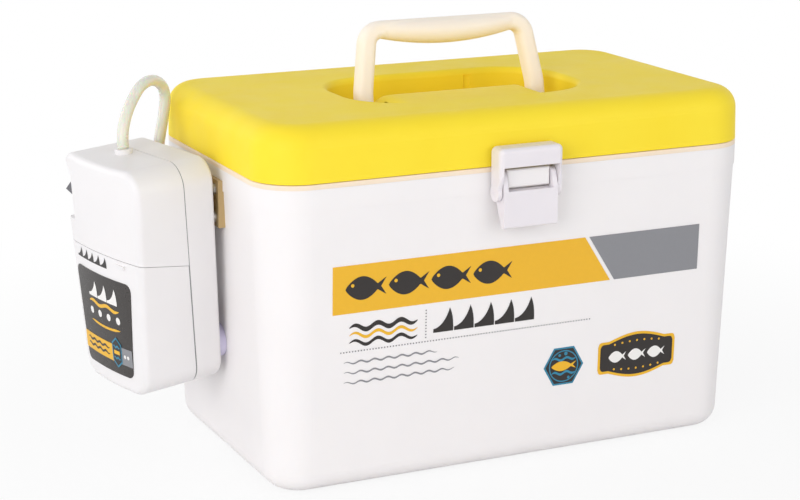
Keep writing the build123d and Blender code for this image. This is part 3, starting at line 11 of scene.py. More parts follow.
import bpy
import numpy as np
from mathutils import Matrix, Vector


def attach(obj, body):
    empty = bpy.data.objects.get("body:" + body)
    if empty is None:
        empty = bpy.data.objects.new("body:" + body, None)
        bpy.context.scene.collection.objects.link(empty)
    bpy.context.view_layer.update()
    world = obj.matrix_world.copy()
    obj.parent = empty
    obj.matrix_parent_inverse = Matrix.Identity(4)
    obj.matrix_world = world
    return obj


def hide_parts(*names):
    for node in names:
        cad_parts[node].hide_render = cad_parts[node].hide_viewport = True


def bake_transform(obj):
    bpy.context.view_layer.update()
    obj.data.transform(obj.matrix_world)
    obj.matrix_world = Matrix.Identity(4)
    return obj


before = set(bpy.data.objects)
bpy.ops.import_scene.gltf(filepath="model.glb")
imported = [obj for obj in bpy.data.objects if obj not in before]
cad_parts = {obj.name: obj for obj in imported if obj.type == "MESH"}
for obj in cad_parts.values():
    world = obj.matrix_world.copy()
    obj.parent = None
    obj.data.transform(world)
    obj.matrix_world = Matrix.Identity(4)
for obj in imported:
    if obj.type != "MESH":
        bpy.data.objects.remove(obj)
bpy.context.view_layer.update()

# %% [markdown]
# ## Sizes shared by several pieces
#
# Everything is in metres. The front wall leans: it narrows downwards by its draft,
# so a print on it lies on a sloping plane. The pump hangs a little askew, turned by
# its yaw and leaning by its tilt, so its own three directions are worked out once.

# %% Directions and places
MM = 0.001
DRAFT = math.radians(1.9)
COLLAR_Z = 175.5 * MM
WALL_Y = -97.4 * MM
PUMP_YAW = math.radians(11.0)
PUMP_TILT = math.radians(4.0)
PUMP_ORIGIN = np.array([-181.4, 17.2, 197.0]) * MM
PUMP_TOP_HALF = 47.6 * MM
PUMP_DEPTH = 51.9 * MM
PUMP_BOW = 5.0 * MM
LEVEL_OUT = np.array([-math.cos(PUMP_YAW), -math.sin(PUMP_YAW), 0.0])
UP = np.array([0.0, 0.0, 1.0])
PUMP_ACROSS = np.array([-math.sin(PUMP_YAW), math.cos(PUMP_YAW), 0.0])
PUMP_OUT = LEVEL_OUT * math.cos(PUMP_TILT) - UP * math.sin(PUMP_TILT)
PUMP_UP = UP * math.cos(PUMP_TILT) + LEVEL_OUT * math.sin(PUMP_TILT)


def on_front(x, z, lift):
    """Points on the front wall: y falls back by (collar height - z) x tan(draft), and lift stands out."""
    y = WALL_Y + (COLLAR_Z - z) * math.tan(DRAFT)
    return np.stack([x, y - lift * math.cos(DRAFT), z - lift * math.sin(DRAFT)], axis=-1)


def in_pump(across, out, up):
    """Points in the pump's own frame: origin + across, out and up along its three directions."""
    return (
        PUMP_ORIGIN
        + np.multiply.outer(across, PUMP_ACROSS)
        + np.multiply.outer(out, PUMP_OUT)
        + np.multiply.outer(up, PUMP_UP)
    )


def on_pump(right, up, lift):
    """Points on the pump's bowed front, right of its middle: an arc of radius R = (h^2 + b^2) / 2b."""
    radius = (PUMP_TOP_HALF**2 + PUMP_BOW**2) / (2 * PUMP_BOW)
    bow = PUMP_BOW - radius + np.sqrt(radius**2 - right**2)
    return in_pump(-right, PUMP_DEPTH + bow + lift, up)


# %% [markdown]
# ## The camera
#
# The picture was taken with a long lens from the front left, a little above the lid.
# A long lens keeps the box's edges almost parallel, so the camera stands 1.3 m off.

# %% Camera
camera_data = bpy.data.cameras.new("camera")
camera_data.lens = 92.07
camera_data.sensor_width = 36.0
camera = bpy.data.objects.new("camera", camera_data)
camera.location = (-0.5752, -1.1543, 0.4505)
look = Vector((0.4097, 0.8768, -0.2518))
camera.rotation_mode = "QUATERNION"
camera.rotation_quaternion = look.to_track_quat("-Z", "Y")
bpy.context.scene.collection.objects.link(camera)
bpy.context.scene.camera = camera
print("camera", tuple(round(v, 3) for v in camera.location))

# %% [markdown]
# ## The air hose
#
# A clear vinyl hose 7 mm across leaves the pump's outlet straight up, bends over in
# one loop and comes down behind the pump to a barb in the wall. A NURBS curve is the
# right tool: its line is smooth like a bent hose, and a round bevel gives the wall.
# The second hose hangs inside the well, from the inner elbow to the air stone.

# %% Hoses
HOSE_RADIUS = 3.5 * MM
outlet = in_pump(7.2 * MM, 30.0 * MM, 3.0 * MM)
outer_hose_route = [
    tuple(outlet),
    tuple(outlet + 9.0 * MM * PUMP_UP),
    (-0.2082, 0.0228, 0.2185),
    (-0.2023, 0.0289, 0.2253),
    (-0.1946, 0.0368, 0.2320),
    (-0.1838, 0.0479, 0.2335),
    (-0.1741, 0.0580, 0.2288),
    (-0.1699, 0.0623, 0.2205),
    (-0.1723, 0.0598, 0.2085),
    (-0.1765, 0.0555, 0.1970),
    (-0.1790, 0.0529, 0.1870),
    (-0.1790, 0.0529, 0.1755),
]
inner_hose_route = [
    (-0.1300, 0.0529, 0.1580),
    (-0.1300, 0.0529, 0.1340),
    (-0.1285, 0.0522, 0.1100),
    (-0.1230, 0.0500, 0.0860),
    (-0.1230, 0.0500, 0.0590),
]


def hose_line(name, route):
    """Points along a quadratic NURBS spline that has these control points."""
    data = bpy.data.curves.new(name, "CURVE")
    data.dimensions = "3D"
    data.resolution_u = 10
    spline = data.splines.new("NURBS")
    spline.points.add(len(route) - 1)
    for point, place in zip(spline.points, route):
        point.co = (*place, 1.0)
    spline.order_u = 3
    spline.use_endpoint_u = True
    carrier = bpy.data.objects.new(name, data)
    mesh = bpy.data.meshes.new_from_object(carrier)
    line = np.empty(len(mesh.vertices) * 3)
    mesh.vertices.foreach_get("co", line)
    bpy.data.objects.remove(carrier)
    bpy.data.meshes.remove(mesh)
    return line.reshape(-1, 3)


def grid_quads(rows, columns, closed_u=False, closed_v=False):
    """Quads between the lines of a grid; a closed direction joins its last line to its first."""
    r = np.arange(rows if closed_u else rows - 1)
    c = np.arange(columns if closed_v else columns - 1)
    r, c = (line.ravel() for line in np.meshgrid(r, c, indexing="ij"))
    r1, c1 = (r + 1) % rows, (c + 1) % columns
    return np.stack([r * columns + c, r * columns + c1, r1 * columns + c1, r1 * columns + c], axis=1)


def mesh_piece(name, points, quads, smooth=True):
    """An object at the scene's origin from points (n, 3) and quads (m, 4)."""
    data = bpy.data.meshes.new(name)
    data.from_pydata(points.reshape(-1, 3).tolist(), [], quads.tolist())
    data.polygons.foreach_set("use_smooth", np.full(len(quads), smooth))
    data.update()
    piece = bpy.data.objects.new(name, data)
    bpy.context.scene.collection.objects.link(piece)
    return piece


def tube(name, line, radius, bore, sides=28):
    """Outer wall, end, bore and other end as one closed ring profile, carried along the line.

    Each ring stands square to the line: its two axes come from the line's direction d
    and the sideways direction s that stays closest to the last ring's, s - (s.d) d.
    """
    along = np.gradient(line, axis=0)
    along /= np.linalg.norm(along, axis=1, keepdims=True)
    side = np.cross(along[0], [0.3, 1.0, 0.2])
    sides_list = []
    for direction in along:
        side = side - side.dot(direction) * direction
        side = side / np.linalg.norm(side)
        sides_list.append(side)
    across = np.array(sides_list)
    other = np.cross(along, across)
    turn = np.linspace(0, 2 * np.pi, sides, endpoint=False)
    circle = np.cos(turn)[None, :, None] * across[:, None] + np.sin(turn)[None, :, None] * other[:, None]
    outer = line[:, None] + radius * circle
    inner = line[:, None] + bore * circle
    rings = np.concatenate([outer, inner[::-1]])
    return mesh_piece(name, rings, grid_quads(*rings.shape[:2], closed_u=True, closed_v=True))


HOSE_BORE = 2.5 * MM
outer_line = hose_line("outer_line", outer_hose_route)
inner_line = hose_line("inner_line", inner_hose_route)
outer_hose = tube("outer_hose", outer_line, HOSE_RADIUS, HOSE_BORE)
inner_hose = tube("inner_hose", inner_line, HOSE_RADIUS, HOSE_BORE)
for piece, line in ((outer_hose, outer_line), (inner_hose, inner_line)):
    print(piece.name, "length mm", round(1000 * np.linalg.norm(np.diff(line, axis=0), axis=1).sum(), 1))

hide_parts("air_tube")
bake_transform(outer_hose)
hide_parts("inner_air_tube")
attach(inner_hose, "box")

# %% [markdown]
# ## Colours and nodes
#
# Colours are picked as sRGB hex values, the way a screen shows them, and turned to
# the linear values that the shader needs. One helper adds any node, sets it and
# links it, which keeps each material short enough to read as a recipe.


# %% Helpers for materials
def linear(code):
    """sRGB hex to linear: c / 12.92 below 0.04045, else ((c + 0.055) / 1.055) ^ 2.4."""
    c = np.array([int(code[i : i + 2], 16) for i in (1, 3, 5)]) / 255
    low, high = c / 12.92, ((c + 0.055) / 1.055) ** 2.4
    return (*np.where(c <= 0.04045, low, high), 1.0)


def node(tree, kind, settings=None, **inputs):
    """Adds a node; an input given as a socket is linked, anything else is its value."""
    made = tree.nodes.new(kind)
    for key, value in (settings or {}).items():
        setattr(made, key, value)
    for key, value in inputs.items():
        wanted = int(key[1:]) if key[1:].isdigit() else key.replace("_", " ")
        socket = made.inputs[wanted]
        if isinstance(value, bpy.types.NodeSocket):
            tree.links.new(value, socket)
        else:
            socket.default_value = value
    return made


def new_material(name):
    """An empty material and its tree, with only an output."""
    material = bpy.data.materials.new(name)
    material.use_nodes = True
    tree = material.node_tree
    tree.nodes.clear()
    return material, tree


def finish_material(tree, shader):
    """Links the shader to a new output."""
    node(tree, "ShaderNodeOutputMaterial", Surface=shader)


def dress(material, *names):
    """Puts one material on CAD nodes."""
    for name in names:
        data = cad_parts[name].data
        data.materials.clear()
        data.materials.append(material)


# %% [markdown]
# ## Moulded plastics
#
# Every plastic here is moulded, so all share one recipe with different numbers. Up
# close a moulding has a fine pebble from the tool, faint flow shading over tens of
# millimetres, and a gloss that varies a little where hands and cloths have rubbed it.
# Polyethylene and polypropylene let light in a little, so they get some subsurface.


# %% Moulded plastic recipe
def moulded(name, colour, flow, pebble_mm, depth_mm, rough, seep=0.0, seep_mm=2.0, shine=0.4):
    """Two close tones mixed by slow noise, a pebble bump of real size, and patchy gloss."""
    material, tree = new_material(name)
    place = node(tree, "ShaderNodeTexCoord").outputs["Object"]
    slow = node(tree, "ShaderNodeTexNoise", Vector=place, Scale=1 / 0.045, Detail=3.0, Roughness=0.55)
    tint = node(
        tree,
        "ShaderNodeMix",
        {"data_type": "RGBA"},
        i0=slow.outputs["Fac"],
        i6=linear(colour),
        i7=linear(flow),
    )
    pebble = node(
        tree, "ShaderNodeTexVoronoi", {"feature": "SMOOTH_F1"}, Vector=place, Scale=1000 / pebble_mm
    )
    grit = node(tree, "ShaderNodeTexNoise", Vector=place, Scale=1000 / (pebble_mm * 0.4), Detail=2.0)
    relief = node(
        tree, "ShaderNodeMath", {"operation": "MULTIPLY_ADD"}, i0=grit.outputs["Fac"], i1=0.35,
        i2=pebble.outputs["Distance"],
    )
    bump = node(
        tree, "ShaderNodeBump", Strength=0.35, Distance=depth_mm * MM, Height=relief.outputs["Value"]
    )
    rub = node(tree, "ShaderNodeTexNoise", Vector=place, Scale=1 / 0.02, Detail=5.0, Roughness=0.6)
    gloss = node(
        tree, "ShaderNodeMapRange", Value=rub.outputs["Fac"], i1=0.3, i2=0.7,
        i3=rough - 0.06, i4=rough + 0.07,
    )
    shader = node(
        tree,
        "ShaderNodeBsdfPrincipled",
        Base_Color=tint.outputs[2],
        Roughness=gloss.outputs["Result"],
        IOR=1.5,
        Specular_IOR_Level=shine,
        Normal=bump.outputs["Normal"],
        Subsurface_Weight=seep,
        Subsurface_Scale=seep_mm * MM,
        Subsurface_Radius=(1.0, 0.85, 0.7),
    )
    finish_material(tree, shader.outputs["BSDF"])
    return material


white_polyethylene = moulded("white_polyethylene", "#F3EFEE", "#EEEAEA", 0.9, 0.02, 0.42, 0.08)
yellow_polyethylene = moulded("yellow_polyethylene", "#FCE33E", "#F9DA30", 0.9, 0.02, 0.48, 0.10, shine=0.15)
cream_polypropylene = moulded("cream_polypropylene", "#FBF1E4", "#F8EADA", 1.2, 0.015, 0.38, 0.2, 3.0)
# The inner liner's peach tone is painted reflection: the yellow lid's light falling on a white rim.
rim_painted_lid_reflection = moulded("rim_painted_lid_reflection", "#FAE6D0", "#F7DFC4", 1.0, 0.015, 0.40, 0.25, 3.0)
white_acetal = moulded("white_acetal", "#EBE6EA", "#E6E0E4", 0.6, 0.01, 0.34, 0.10)
pump_styrene = moulded("pump_styrene", "#EEEBEB", "#E9E6E6", 0.5, 0.02, 0.38, 0.05)
# The hanger's tan is painted light: yellow light bounced from the lid, and the shade in the gap behind the
# pump.
hanger_painted_bounce_and_shade = moulded("hanger_painted_bounce_and_shade", "#BFA373", "#B39664", 0.6, 0.01, 0.42, 0.05)
white_nylon = moulded("white_nylon", "#E9E6E2", "#E2DEDA", 0.6, 0.01, 0.40, 0.10)
switch_grey = moulded("switch_grey", "#77767A", "#6E6D72", 0.5, 0.01, 0.45)
black_styrene = moulded("black_styrene", "#1E1D1E", "#252425", 0.5, 0.01, 0.40)
foam_board = moulded("foam_board", "#EFEDDF", "#E6E3D2", 2.5, 0.25, 0.85)
seal_rubber = moulded("seal_rubber", "#8C8C8C", "#828283", 0.7, 0.02, 0.65)
lavender_rubber = moulded("lavender_rubber", "#D9D4EA", "#CFC9E4", 0.7, 0.02, 0.55, 0.1)
black_rubber = moulded("black_rubber", "#191919", "#202020", 0.7, 0.02, 0.6)
stone_grit = moulded("stone_grit", "#6E8496", "#566B7D", 1.0, 0.5, 0.9)

dress(white_polyethylene, "outer_shell")
dress(yellow_polyethylene, "lid_shell")
dress(cream_polypropylene, "handle", "lid_liner")
# Painted reflection of the yellow lid on the inner liner's rim.
dress(rim_painted_lid_reflection, "inner_liner")
dress(white_acetal, "latch_bail", "latch_lever", "bail_pin", "lever_pin")
dress(pump_styrene, "pump_back_case", "pump_front_case", "battery_door", "outlet_nipple")
# Painted lid bounce and gap shade on the hanger, not the hanger's own colour.
dress(hanger_painted_bounce_and_shade, "pump_hanger")
dress(white_nylon, "port_elbow", "port_nut", "inner_elbow", "stone_fitting", "crank_cam", "yoke")
dress(switch_grey, "switch_bezel", "switch_body", "switch_rocker")
dress(black_styrene, "battery_cradle", "motor_clamp", "valve_head")
dress(foam_board, "foam_core", "lid_foam")
dress(seal_rubber, "case_seal", "lid_gasket", "port_washer")
dress(lavender_rubber, "wall_bumpers")
dress(black_rubber, "diaphragm")
dress(stone_grit, "air_stone")

# %% [markdown]
# ## Metals
#
# The hinges, pins and screws are stainless steel. Brushing leaves scratches that run
# along the sheet, so the noise is stretched: fine across, long along the grain.


# %% Brushed and drawn metal
def brushed(name, colour, grain, rough):
    """Noise scaled far more across the grain than along it drives tone, gloss and bump."""
    material, tree = new_material(name)
    place = node(tree, "ShaderNodeTexCoord").outputs["Object"]
    stretched = node(tree, "ShaderNodeMapping", Vector=place, Scale=grain)
    scratches = node(
        tree, "ShaderNodeTexNoise", Vector=stretched.outputs["Vector"], Scale=1.0, Detail=4.0
    )
    ramp = node(
        tree, "ShaderNodeMapRange", Value=scratches.outputs["Fac"], i1=0.3, i2=0.7,
        i3=rough - 0.08, i4=rough + 0.1,
    )
    bump = node(
        tree, "ShaderNodeBump", Strength=0.2, Distance=0.02 * MM, Height=scratches.outputs["Fac"]
    )
    dark = tuple(0.8 * v for v in linear(colour)[:3]) + (1.0,)
    tint = node(
        tree, "ShaderNodeMix", {"data_type": "RGBA"}, i0=scratches.outputs["Fac"],
        i6=dark, i7=linear(colour),
    )
    shader = node(
        tree,
        "ShaderNodeBsdfPrincipled",
        Base_Color=tint.outputs[2],
        Metallic=1.0,
        Roughness=ramp.outputs["Result"],
        Normal=bump.outputs["Normal"],
    )
    finish_material(tree, shader.outputs["BSDF"])
    return material


hinge_steel = brushed("hinge_steel", "#C9C8C6", (60, 900, 2500), 0.32)
motor_can = brushed("motor_can", "#B9B9BB", (900, 60, 900), 0.30)
contact_nickel = brushed("contact_nickel", "#D0CDC6", (700, 700, 60), 0.25)
dress(
    hinge_steel, "hinge_leaves_box", "hinge_leaves_lid", "hinge_pins", "hinge_screws_box",
    "hinge_screws_lid", "handle_pins", "hanger_screws", "case_screws",
    "motor_shaft",
)
dress(motor_can, "motor")
dress(contact_nickel, "lower_contact", "upper_contacts")

# %% [markdown]
# ## Print and jackets
#
# The bands are screen printed: an even coat with a slightly raised, smoother skin
# than the wall. A fine mottle keeps a large patch from looking like paper.


# %% Printed ink
def printed(name, colour, rough=0.32):
    """Even ink: tone and gloss shift by a few percent with fine noise, over a faint wall texture."""
    material, tree = new_material(name)
    place = node(tree, "ShaderNodeTexCoord").outputs["Object"]
    mottle = node(tree, "ShaderNodeTexNoise", Vector=place, Scale=1 / 0.003, Detail=4.0, Roughness=0.7)
    base = linear(colour)
    tint = node(
        tree, "ShaderNodeMix", {"data_type": "RGBA"}, i0=mottle.outputs["Fac"],
        i6=base, i7=tuple(0.93 * v for v in base[:3]) + (1.0,),
    )
    gloss = node(
        tree, "ShaderNodeMapRange", Value=mottle.outputs["Fac"], i1=0.2, i2=0.8,
        i3=rough - 0.05, i4=rough + 0.08,
    )
    bump = node(tree, "ShaderNodeBump", Strength=0.15, Distance=0.02 * MM, Height=mottle.outputs["Fac"])
    shader = node(
        tree, "ShaderNodeBsdfPrincipled", Base_Color=tint.outputs[2],
        Roughness=gloss.outputs["Result"], IOR=1.5, Normal=bump.outputs["Normal"],
    )
    finish_material(tree, shader.outputs["BSDF"])
    return material


amber_ink = printed("amber_ink", "#EFB724")
grey_ink = printed("grey_ink", "#8B8B8F")
black_ink = printed("black_ink", "#2A2523")
teal_ink = printed("teal_ink", "#2E86A6")
white_ink = printed("white_ink", "#F2EFEC")
soft_grey_ink = printed("soft_grey_ink", "#77767A")
label_vinyl = printed("label_vinyl", "#35302D", 0.28)
cell_jacket = printed("cell_jacket", "#242529", 0.25)
dress(amber_ink, "front_band_amber")
dress(grey_ink, "front_band_grey")
dress(label_vinyl, "pump_label")
dress(cell_jacket, "battery_cells")

# %% [markdown]
# ## Shapes of the printed marks
#
# The maker's words are left off. In their places stand plain water patterns: fish,
# waves and bubbles. Every mark is a flat patch in two coordinates, right and up in
# millimetres, built from a strip between two curves or from rings round a middle.
# A placing rule then lays it on the sloping wall or on the pump's bowed front.


# %% Patch shapes
def strip(right, low, high, rows=5):
    """Patch between the curves low and high over the same places to the right."""
    t = np.linspace(0, 1, rows)[:, None]
    up = low * (1 - t) + high * t
    return np.stack([np.broadcast_to(right, up.shape), up], axis=-1), False


def rings(middle, radius, inner=0.0, count=48, turns=None):
    """Patch from an outline inwards; radius may be a number or a function of the angle."""
    angle = np.linspace(0, 2 * np.pi, count, endpoint=False)
    reach = radius(angle) if callable(radius) else np.full(count, radius)
    outline = np.stack([reach * np.cos(angle), reach * np.sin(angle)], axis=-1)
    t = np.linspace(1, inner, 3)[:, None, None]
    return np.array(middle, float) + t * outline, True


def wave(start, end, middle, thick, swing, length, count=90):
    """A sine line: up = middle + swing sin(2 pi x / length), thinner at both ends."""
    right = np.linspace(start, end, count)
    line = middle + swing * np.sin(2 * np.pi * (right - start) / length)
    s = (right - start) / (end - start)
    half = thick / 2 * np.clip(6 * np.minimum(s, 1 - s), 0, 1) ** 0.5
    return strip(right, line - half, line + half, rows=3)


def fish(nose, middle, length, height):
    """A fish that looks left: a sine body, a flaring tail, and a notch that pulls the tail's end in."""
    s = np.linspace(0, 1, 40)
    body = np.sin(np.pi * np.clip(s / 0.82, 0, 1)) ** 0.75
    tail = 0.75 * np.clip((s - 0.7) / 0.3, 0, 1) ** 0.9
    half = height / 2 * np.maximum(body, tail)
    patch, closed = strip(nose + length * s, middle - half, middle + half, rows=7)
    centred = 1 - np.abs(np.linspace(-1, 1, 7))[:, None]
    patch = patch.copy()
    patch[..., 0] -= 0.13 * length * centred * np.clip((s - 0.8) / 0.2, 0, 1)
    return patch, closed


def crests(start, end, base, height, count):
    """Breaking waves side by side: each rises as s^1.8 and drops at once."""
    pieces = []
    width = (end - start) / count
    for k in range(count):
        s = np.linspace(0, 1, 24)
        right = start + width * (k + 0.96 * s)
        top = base + height * (0.16 + 0.84 * s**1.8)
        curl = 0.18 * width * s**3
        patch, closed = strip(right, np.full(24, float(base)), top, rows=6)
        patch = patch.copy()
        patch[..., 0] -= curl * np.linspace(0, 1, 6)[:, None] ** 3
        pieces.append((patch, closed))
    return pieces


def box_patch(left, right, low, high):
    """Plain rectangle, cut finely enough to follow a curved surface."""
    across = np.linspace(left, right, 16)
    return strip(across, np.full(16, float(low)), np.full(16, float(high)), rows=3)


def print_piece(name, patches, place, lift, material, body):
    """Joins flat patches into one thin print, lays it by its rule and lets it ride on its body."""
    points, quads, used = [], [], 0
    for patch, closed in patches:
        rows, columns = patch.shape[:2]
        points.append(place(patch[..., 0] * MM, patch[..., 1] * MM, lift * MM).reshape(-1, 3))
        quads.append(used + grid_quads(rows, columns, closed_v=closed))
        used += rows * columns
    piece = mesh_piece(name, np.concatenate(points), np.concatenate(quads))
    piece.data.materials.append(material)
    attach(piece, body)
    return piece


def hexagon(reach):
    """Distance from the middle to a hexagon's edge, corners to the left and right."""
    return lambda angle: reach * math.cos(math.pi / 6) / np.cos((angle % (np.pi / 3)) - np.pi / 6)


def plaque(half_width, middle_half, end_half, inset):
    """Strip like a nameplate: tall in the middle, lower at both ends, with rounded ends."""
    right = np.linspace(-half_width + inset, half_width - inset, 70)
    s = np.abs(right) / half_width
    swell = np.clip(1 - s / 0.72, 0, 1)
    half = end_half + (middle_half - end_half) * np.sin(np.pi / 2 * swell) - inset
    corner = np.clip((1 - s - inset / half_width) / 0.09, 0, 1)
    half = half * (0.72 + 0.28 * np.sqrt(1 - (1 - corner) ** 2))
    return right, half


# %% [markdown]
# ## Marks on the box's front

# %% Front prints
front_fish = [fish(nose, 126.2, 26.5, 14.5) for nose in (-116.0, -88.0, -60.0, -32.0)]
print_piece("front_fish", front_fish, on_front, 0.37, black_ink, "box")
eyes = [rings((nose + 4.6, 128.3), 1.1, count=20) for nose in (-116.0, -88.0, -60.0, -32.0)]
print_piece("front_fish_eyes", eyes, on_front, 0.45, amber_ink, "box")

dark_waves = [
    wave(-113.4, -68.4, 102.0, 3.0, 1.6, 15.0),
    wave(-113.4, -68.4, 92.6, 2.2, 1.6, 15.0),
]
print_piece("front_waves_dark", dark_waves, on_front, 0.12, black_ink, "box")
amber_waves = [wave(-113.4, -68.4, 97.3, 2.0, 1.6, 15.0)]
print_piece("front_waves_amber", amber_waves, on_front, 0.12, amber_ink, "box")
print_piece("front_crests", crests(-58.0, 11.5, 92.2, 15.0, 5), on_front, 0.12, black_ink, "box")

dots = [box_patch(x, x + 0.8, 87.0, 87.8) for x in np.arange(-119.0, 51.0, 1.9)]
dots += [box_patch(-63.4, -62.6, z, z + 0.8) for z in np.arange(89.6, 108.6, 1.9)]
print_piece("front_dotted_rules", dots, on_front, 0.12, soft_grey_ink, "box")
grey_waves = [wave(-117.0, end, z, 1.1, 0.7, 9.0) for end, z in ((-55.0, 80.5), (-40.0, 74.2), (-43.0, 67.9))]
print_piece("front_waves_grey", grey_waves, on_front, 0.12, grey_ink, "box")

BADGE = (33.1, 58.7)
print_piece("badge_rim", [rings(BADGE, hexagon(14.2), count=72)], on_front, 0.12, teal_ink, "box")
print_piece("badge_field", [rings(BADGE, hexagon(12.9), count=72)], on_front, 0.20, black_ink, "box")
badge_teal = [
    rings(BADGE, 10.4, inner=0.93, count=60),
    wave(24.6, 41.6, 63.4, 1.5, 0.8, 8.5),
    wave(24.6, 41.6, 54.2, 1.5, 0.8, 8.5),
    rings((30.0, 66.0), 0.9, count=16),
    rings((34.4, 66.8), 1.2, count=16),
    rings((36.8, 50.9), 0.9, count=16),
]
print_piece("badge_teal", badge_teal, on_front, 0.28, teal_ink, "box")
print_piece("badge_bar", [fish(24.4, 58.8, 17.6, 6.4)], on_front, 0.28, amber_ink, "box")

PLAQUE = np.array([86.0, 59.6])
for part, inset, lift, ink, slot in (
    ("rim", 0.0, 0.12, amber_ink, "amber_print"),
    ("field", 1.7, 0.20, black_ink, "black_print"),
):
    right, half = plaque(28.2, 15.0, 10.6, inset)
    outline = strip(PLAQUE[0] + right, PLAQUE[1] - half, PLAQUE[1] + half)
    print_piece("plaque_" + part, [outline], on_front, lift, ink, "box")
plaque_fish = [fish(PLAQUE[0] - 20.5 + 14.2 * k, PLAQUE[1], 12.8, 7.6) for k in range(3)]
print_piece("plaque_fish", plaque_fish, on_front, 0.28, white_ink, "box")
plaque_dots = [
    rings((PLAQUE[0] + 5.4 * k, PLAQUE[1] + side * (9.3 - 0.13 * k * k)), 0.7, count=14)
    for k in range(-3, 4)
    for side in (-1, 1)
]
print_piece("plaque_dots", plaque_dots, on_front, 0.28, amber_ink, "box")

# %% [markdown]
# ## Marks on the pump
#
# The label's own vinyl is 0.4 mm thick, so marks on it are lifted by a little more.

# %% Pump prints
print_piece("case_crests", crests(-33.0, 8.0, -64.4, 6.6, 5), on_pump, 0.12, black_ink, "battery_door")
label_white = crests(-19.6, 16.5, -86.5, 10.5, 3)
label_white += [rings((x, -96.0), 2.3, count=24) for x in (-17.4, -6.4, 4.6, 15.6)]
print_piece("label_white", label_white, on_pump, 0.52, white_ink, "battery_door")
label_amber = [
    wave(-20.0, 17.5, -90.0, 2.3, 0.9, 18.5),
    wave(-18.8, 17.2, -102.2, 1.6, -1.3, 72.0),
    box_patch(-32.4, 8.5, -123.6, -112.6),
]
print_piece("label_amber", label_amber, on_pump, 0.52, amber_ink, "battery_door")
label_dark = [wave(-28.0, 2.0, z, 1.5, 0.6, 7.5) for z in (-116.0, -119.8)]
print_piece("label_dark", label_dark, on_pump, 0.60, black_ink, "battery_door")
print_piece("label_grey", [box_patch(13.0, 27.3, -123.6, -112.6)], on_pump, 0.52, grey_ink, "battery_door")
label_dots = [rings((x, -118.0), 1.2, count=18) for x in (19.6, 23.0)]
print_piece("label_dots", label_dots, on_pump, 0.60, white_ink, "battery_door")


def tall_hexagon(middle, half_width, half_height):
    """Hexagon with corners at its top and bottom, as a strip: half height over the places to the right."""
    right = np.linspace(-half_width, half_width, 25)
    half = half_height * (1 - 0.42 * np.abs(right) / half_width)
    return strip(middle[0] + right, middle[1] - half, middle[1] + half)


PUMP_BADGE = (11.0, -117.0)
print_piece("label_badge_rim", [tall_hexagon(PUMP_BADGE, 5.4, 9.8)], on_pump, 0.66, teal_ink, "battery_door")
print_piece("label_badge", [tall_hexagon(PUMP_BADGE, 4.6, 8.6)], on_pump, 0.72, black_ink, "battery_door")
print_piece(
    "label_badge_waves", [wave(7.4, 14.6, z, 1.2, 0.5, 3.6) for z in (-113.4, -120.6)], on_pump,
    0.78, teal_ink, "battery_door",
)
print_piece("label_badge_bar", [box_patch(7.8, 14.2, -118.2, -115.8)], on_pump, 0.78, amber_ink, "battery_door")

# %% [markdown]
# ## Clear vinyl hose
#
# Flexible PVC is clear but a little milky, with a bright rim where light runs along
# the wall. Partial transmission over a pale base gives both at a small cost.


# %% Hose material
def clear_vinyl():
    """Half transmitting, half milky, with slow haze along the hose."""
    material, tree = new_material("clear_vinyl")
    place = node(tree, "ShaderNodeTexCoord").outputs["Object"]
    haze = node(tree, "ShaderNodeTexNoise", Vector=place, Scale=1 / 0.012, Detail=3.0)
    cloud = node(
        tree, "ShaderNodeMapRange", Value=haze.outputs["Fac"], i1=0.3, i2=0.7, i3=0.16, i4=0.28
    )
    tint = node(
        tree, "ShaderNodeMix", {"data_type": "RGBA"}, i0=haze.outputs["Fac"],
        i6=linear("#FEF8EC"), i7=linear("#FAF0DF"),
    )
    shader = node(
        tree, "ShaderNodeBsdfPrincipled", Base_Color=tint.outputs[2], Roughness=cloud.outputs["Result"],
        IOR=1.53, Transmission_Weight=0.2, Subsurface_Weight=0.4, Subsurface_Scale=2 * MM,
    )
    finish_material(tree, shader.outputs["BSDF"])
    return material


hose_vinyl = clear_vinyl()
outer_hose.data.materials.append(hose_vinyl)
inner_hose.data.materials.append(hose_vinyl)

# %% [markdown]
# ## Studio
#
# The box stands on a white sweep in soft light from large lamps: a key from the left,
# a fill from the front, a rim from the left back, and the sky all round. Camera rays
# see plain white, while the object is lit by a sky that is brighter low down.


# %% World, floor and lamps
SKY_LOW = 0.86
SKY_TOP = 0.52


def studio_world():
    """White for camera, clear and glossy rays; for the rest a sky that is brighter low down."""
    world = bpy.data.worlds.new("studio")
    world.use_nodes = True
    tree = world.node_tree
    tree.nodes.clear()
    rays = node(tree, "ShaderNodeLightPath")
    through = node(
        tree, "ShaderNodeMath", {"operation": "MAXIMUM"},
        i0=rays.outputs["Is Camera Ray"], i1=rays.outputs["Is Transmission Ray"],
    )
    seen = node(
        tree, "ShaderNodeMath", {"operation": "MAXIMUM"},
        i0=through.outputs["Value"], i1=rays.outputs["Is Glossy Ray"],
    )
    direction = node(tree, "ShaderNodeTexCoord").outputs["Generated"]
    height = node(tree, "ShaderNodeSeparateXYZ", Vector=direction).outputs["Z"]
    level = node(tree, "ShaderNodeMapRange", Value=height, i1=0.0, i2=0.9, i3=SKY_LOW, i4=SKY_TOP)
    sky = node(
        tree, "ShaderNodeBackground", Color=(0.97, 0.98, 1.0, 1.0), Strength=level.outputs["Result"]
    )
    white = node(tree, "ShaderNodeBackground", Color=(1.0, 1.0, 1.0, 1.0), Strength=1.0)
    mix = node(
        tree, "ShaderNodeMixShader", Fac=seen.outputs["Value"], i1=sky.outputs["Background"],
        i2=white.outputs["Background"],
    )
    node(tree, "ShaderNodeOutputWorld", Surface=mix.outputs["Shader"])
    bpy.context.scene.world = world


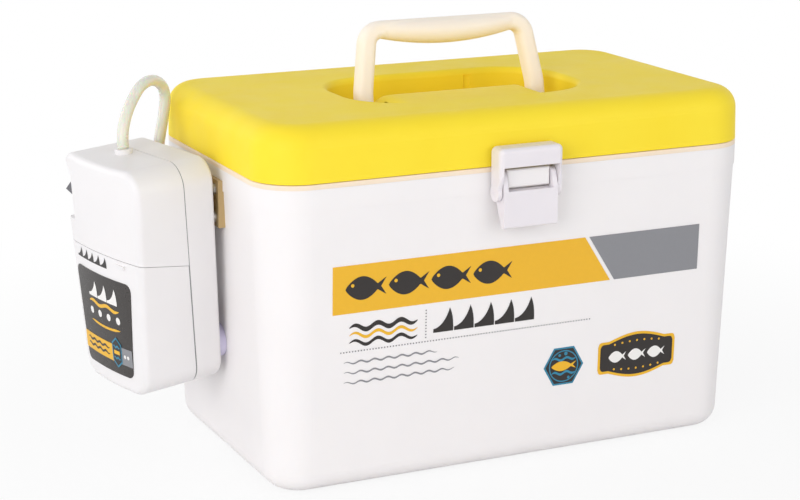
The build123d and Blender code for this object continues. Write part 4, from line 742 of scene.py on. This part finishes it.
def studio_floor(size, drop):
    """A white square that, to the camera, glows more the further it is from the box.

    The share of glow goes from 0.85 near the box, where its shadow lies, to 1 at 0.6 m.
    """
    corners = np.array([[-1, -1, 0], [1, -1, 0], [1, 1, 0], [-1, 1, 0]], float) * size / 2
    data = bpy.data.meshes.new("floor")
    data.from_pydata((corners + [0, 0, drop]).tolist(), [], [(0, 1, 2, 3)])
    floor = bpy.data.objects.new("floor", data)
    bpy.context.scene.collection.objects.link(floor)
    material, tree = new_material("white_sweep")
    rays = node(tree, "ShaderNodeLightPath")
    paper = node(tree, "ShaderNodeBsdfDiffuse", Color=(0.9, 0.9, 0.9, 1.0))
    glow = node(tree, "ShaderNodeEmission", Color=(1, 1, 1, 1), Strength=1.0)
    place = node(tree, "ShaderNodeTexCoord").outputs["Object"]
    away = node(tree, "ShaderNodeVectorMath", {"operation": "LENGTH"}, i0=place).outputs["Value"]
    share = node(
        tree, "ShaderNodeMapRange", {"interpolation_type": "SMOOTHSTEP"}, Value=away,
        i1=0.2, i2=0.6, i3=0.85, i4=1.0,
    )
    shown = node(
        tree, "ShaderNodeMath", {"operation": "MULTIPLY"},
        i0=share.outputs["Result"], i1=rays.outputs["Is Camera Ray"],
    )
    both = node(
        tree, "ShaderNodeMixShader", Fac=shown.outputs["Value"], i1=paper.outputs["BSDF"],
        i2=glow.outputs["Emission"],
    )
    finish_material(tree, both.outputs["Shader"])
    floor.data.materials.append(material)
    return floor


def lamp(name, place, target, size, watts, colour=(1, 1, 1)):
    """A square area lamp at place, facing target."""
    data = bpy.data.lights.new(name, "AREA")
    data.size = size
    data.energy = watts
    data.color = colour
    light = bpy.data.objects.new(name, data)
    light.location = place
    light.rotation_mode = "QUATERNION"
    light.rotation_quaternion = (Vector(target) - Vector(place)).to_track_quat("-Z", "Y")
    bpy.context.scene.collection.objects.link(light)
    return light


studio_world()
studio_floor(12.0, -0.0005)
lamp("key", (-1.9, -1.3, 0.8), (0, 0, 0.1), 1.4, 21)
lamp("fill", (1.0, -1.9, 0.7), (0, 0, 0.1), 1.4, 7.5)
lamp("rim", (-1.3, 1.1, 0.9), (0, 0, 0.15), 1.2, 6)
bpy.context.scene.view_settings.view_transform = "Standard"
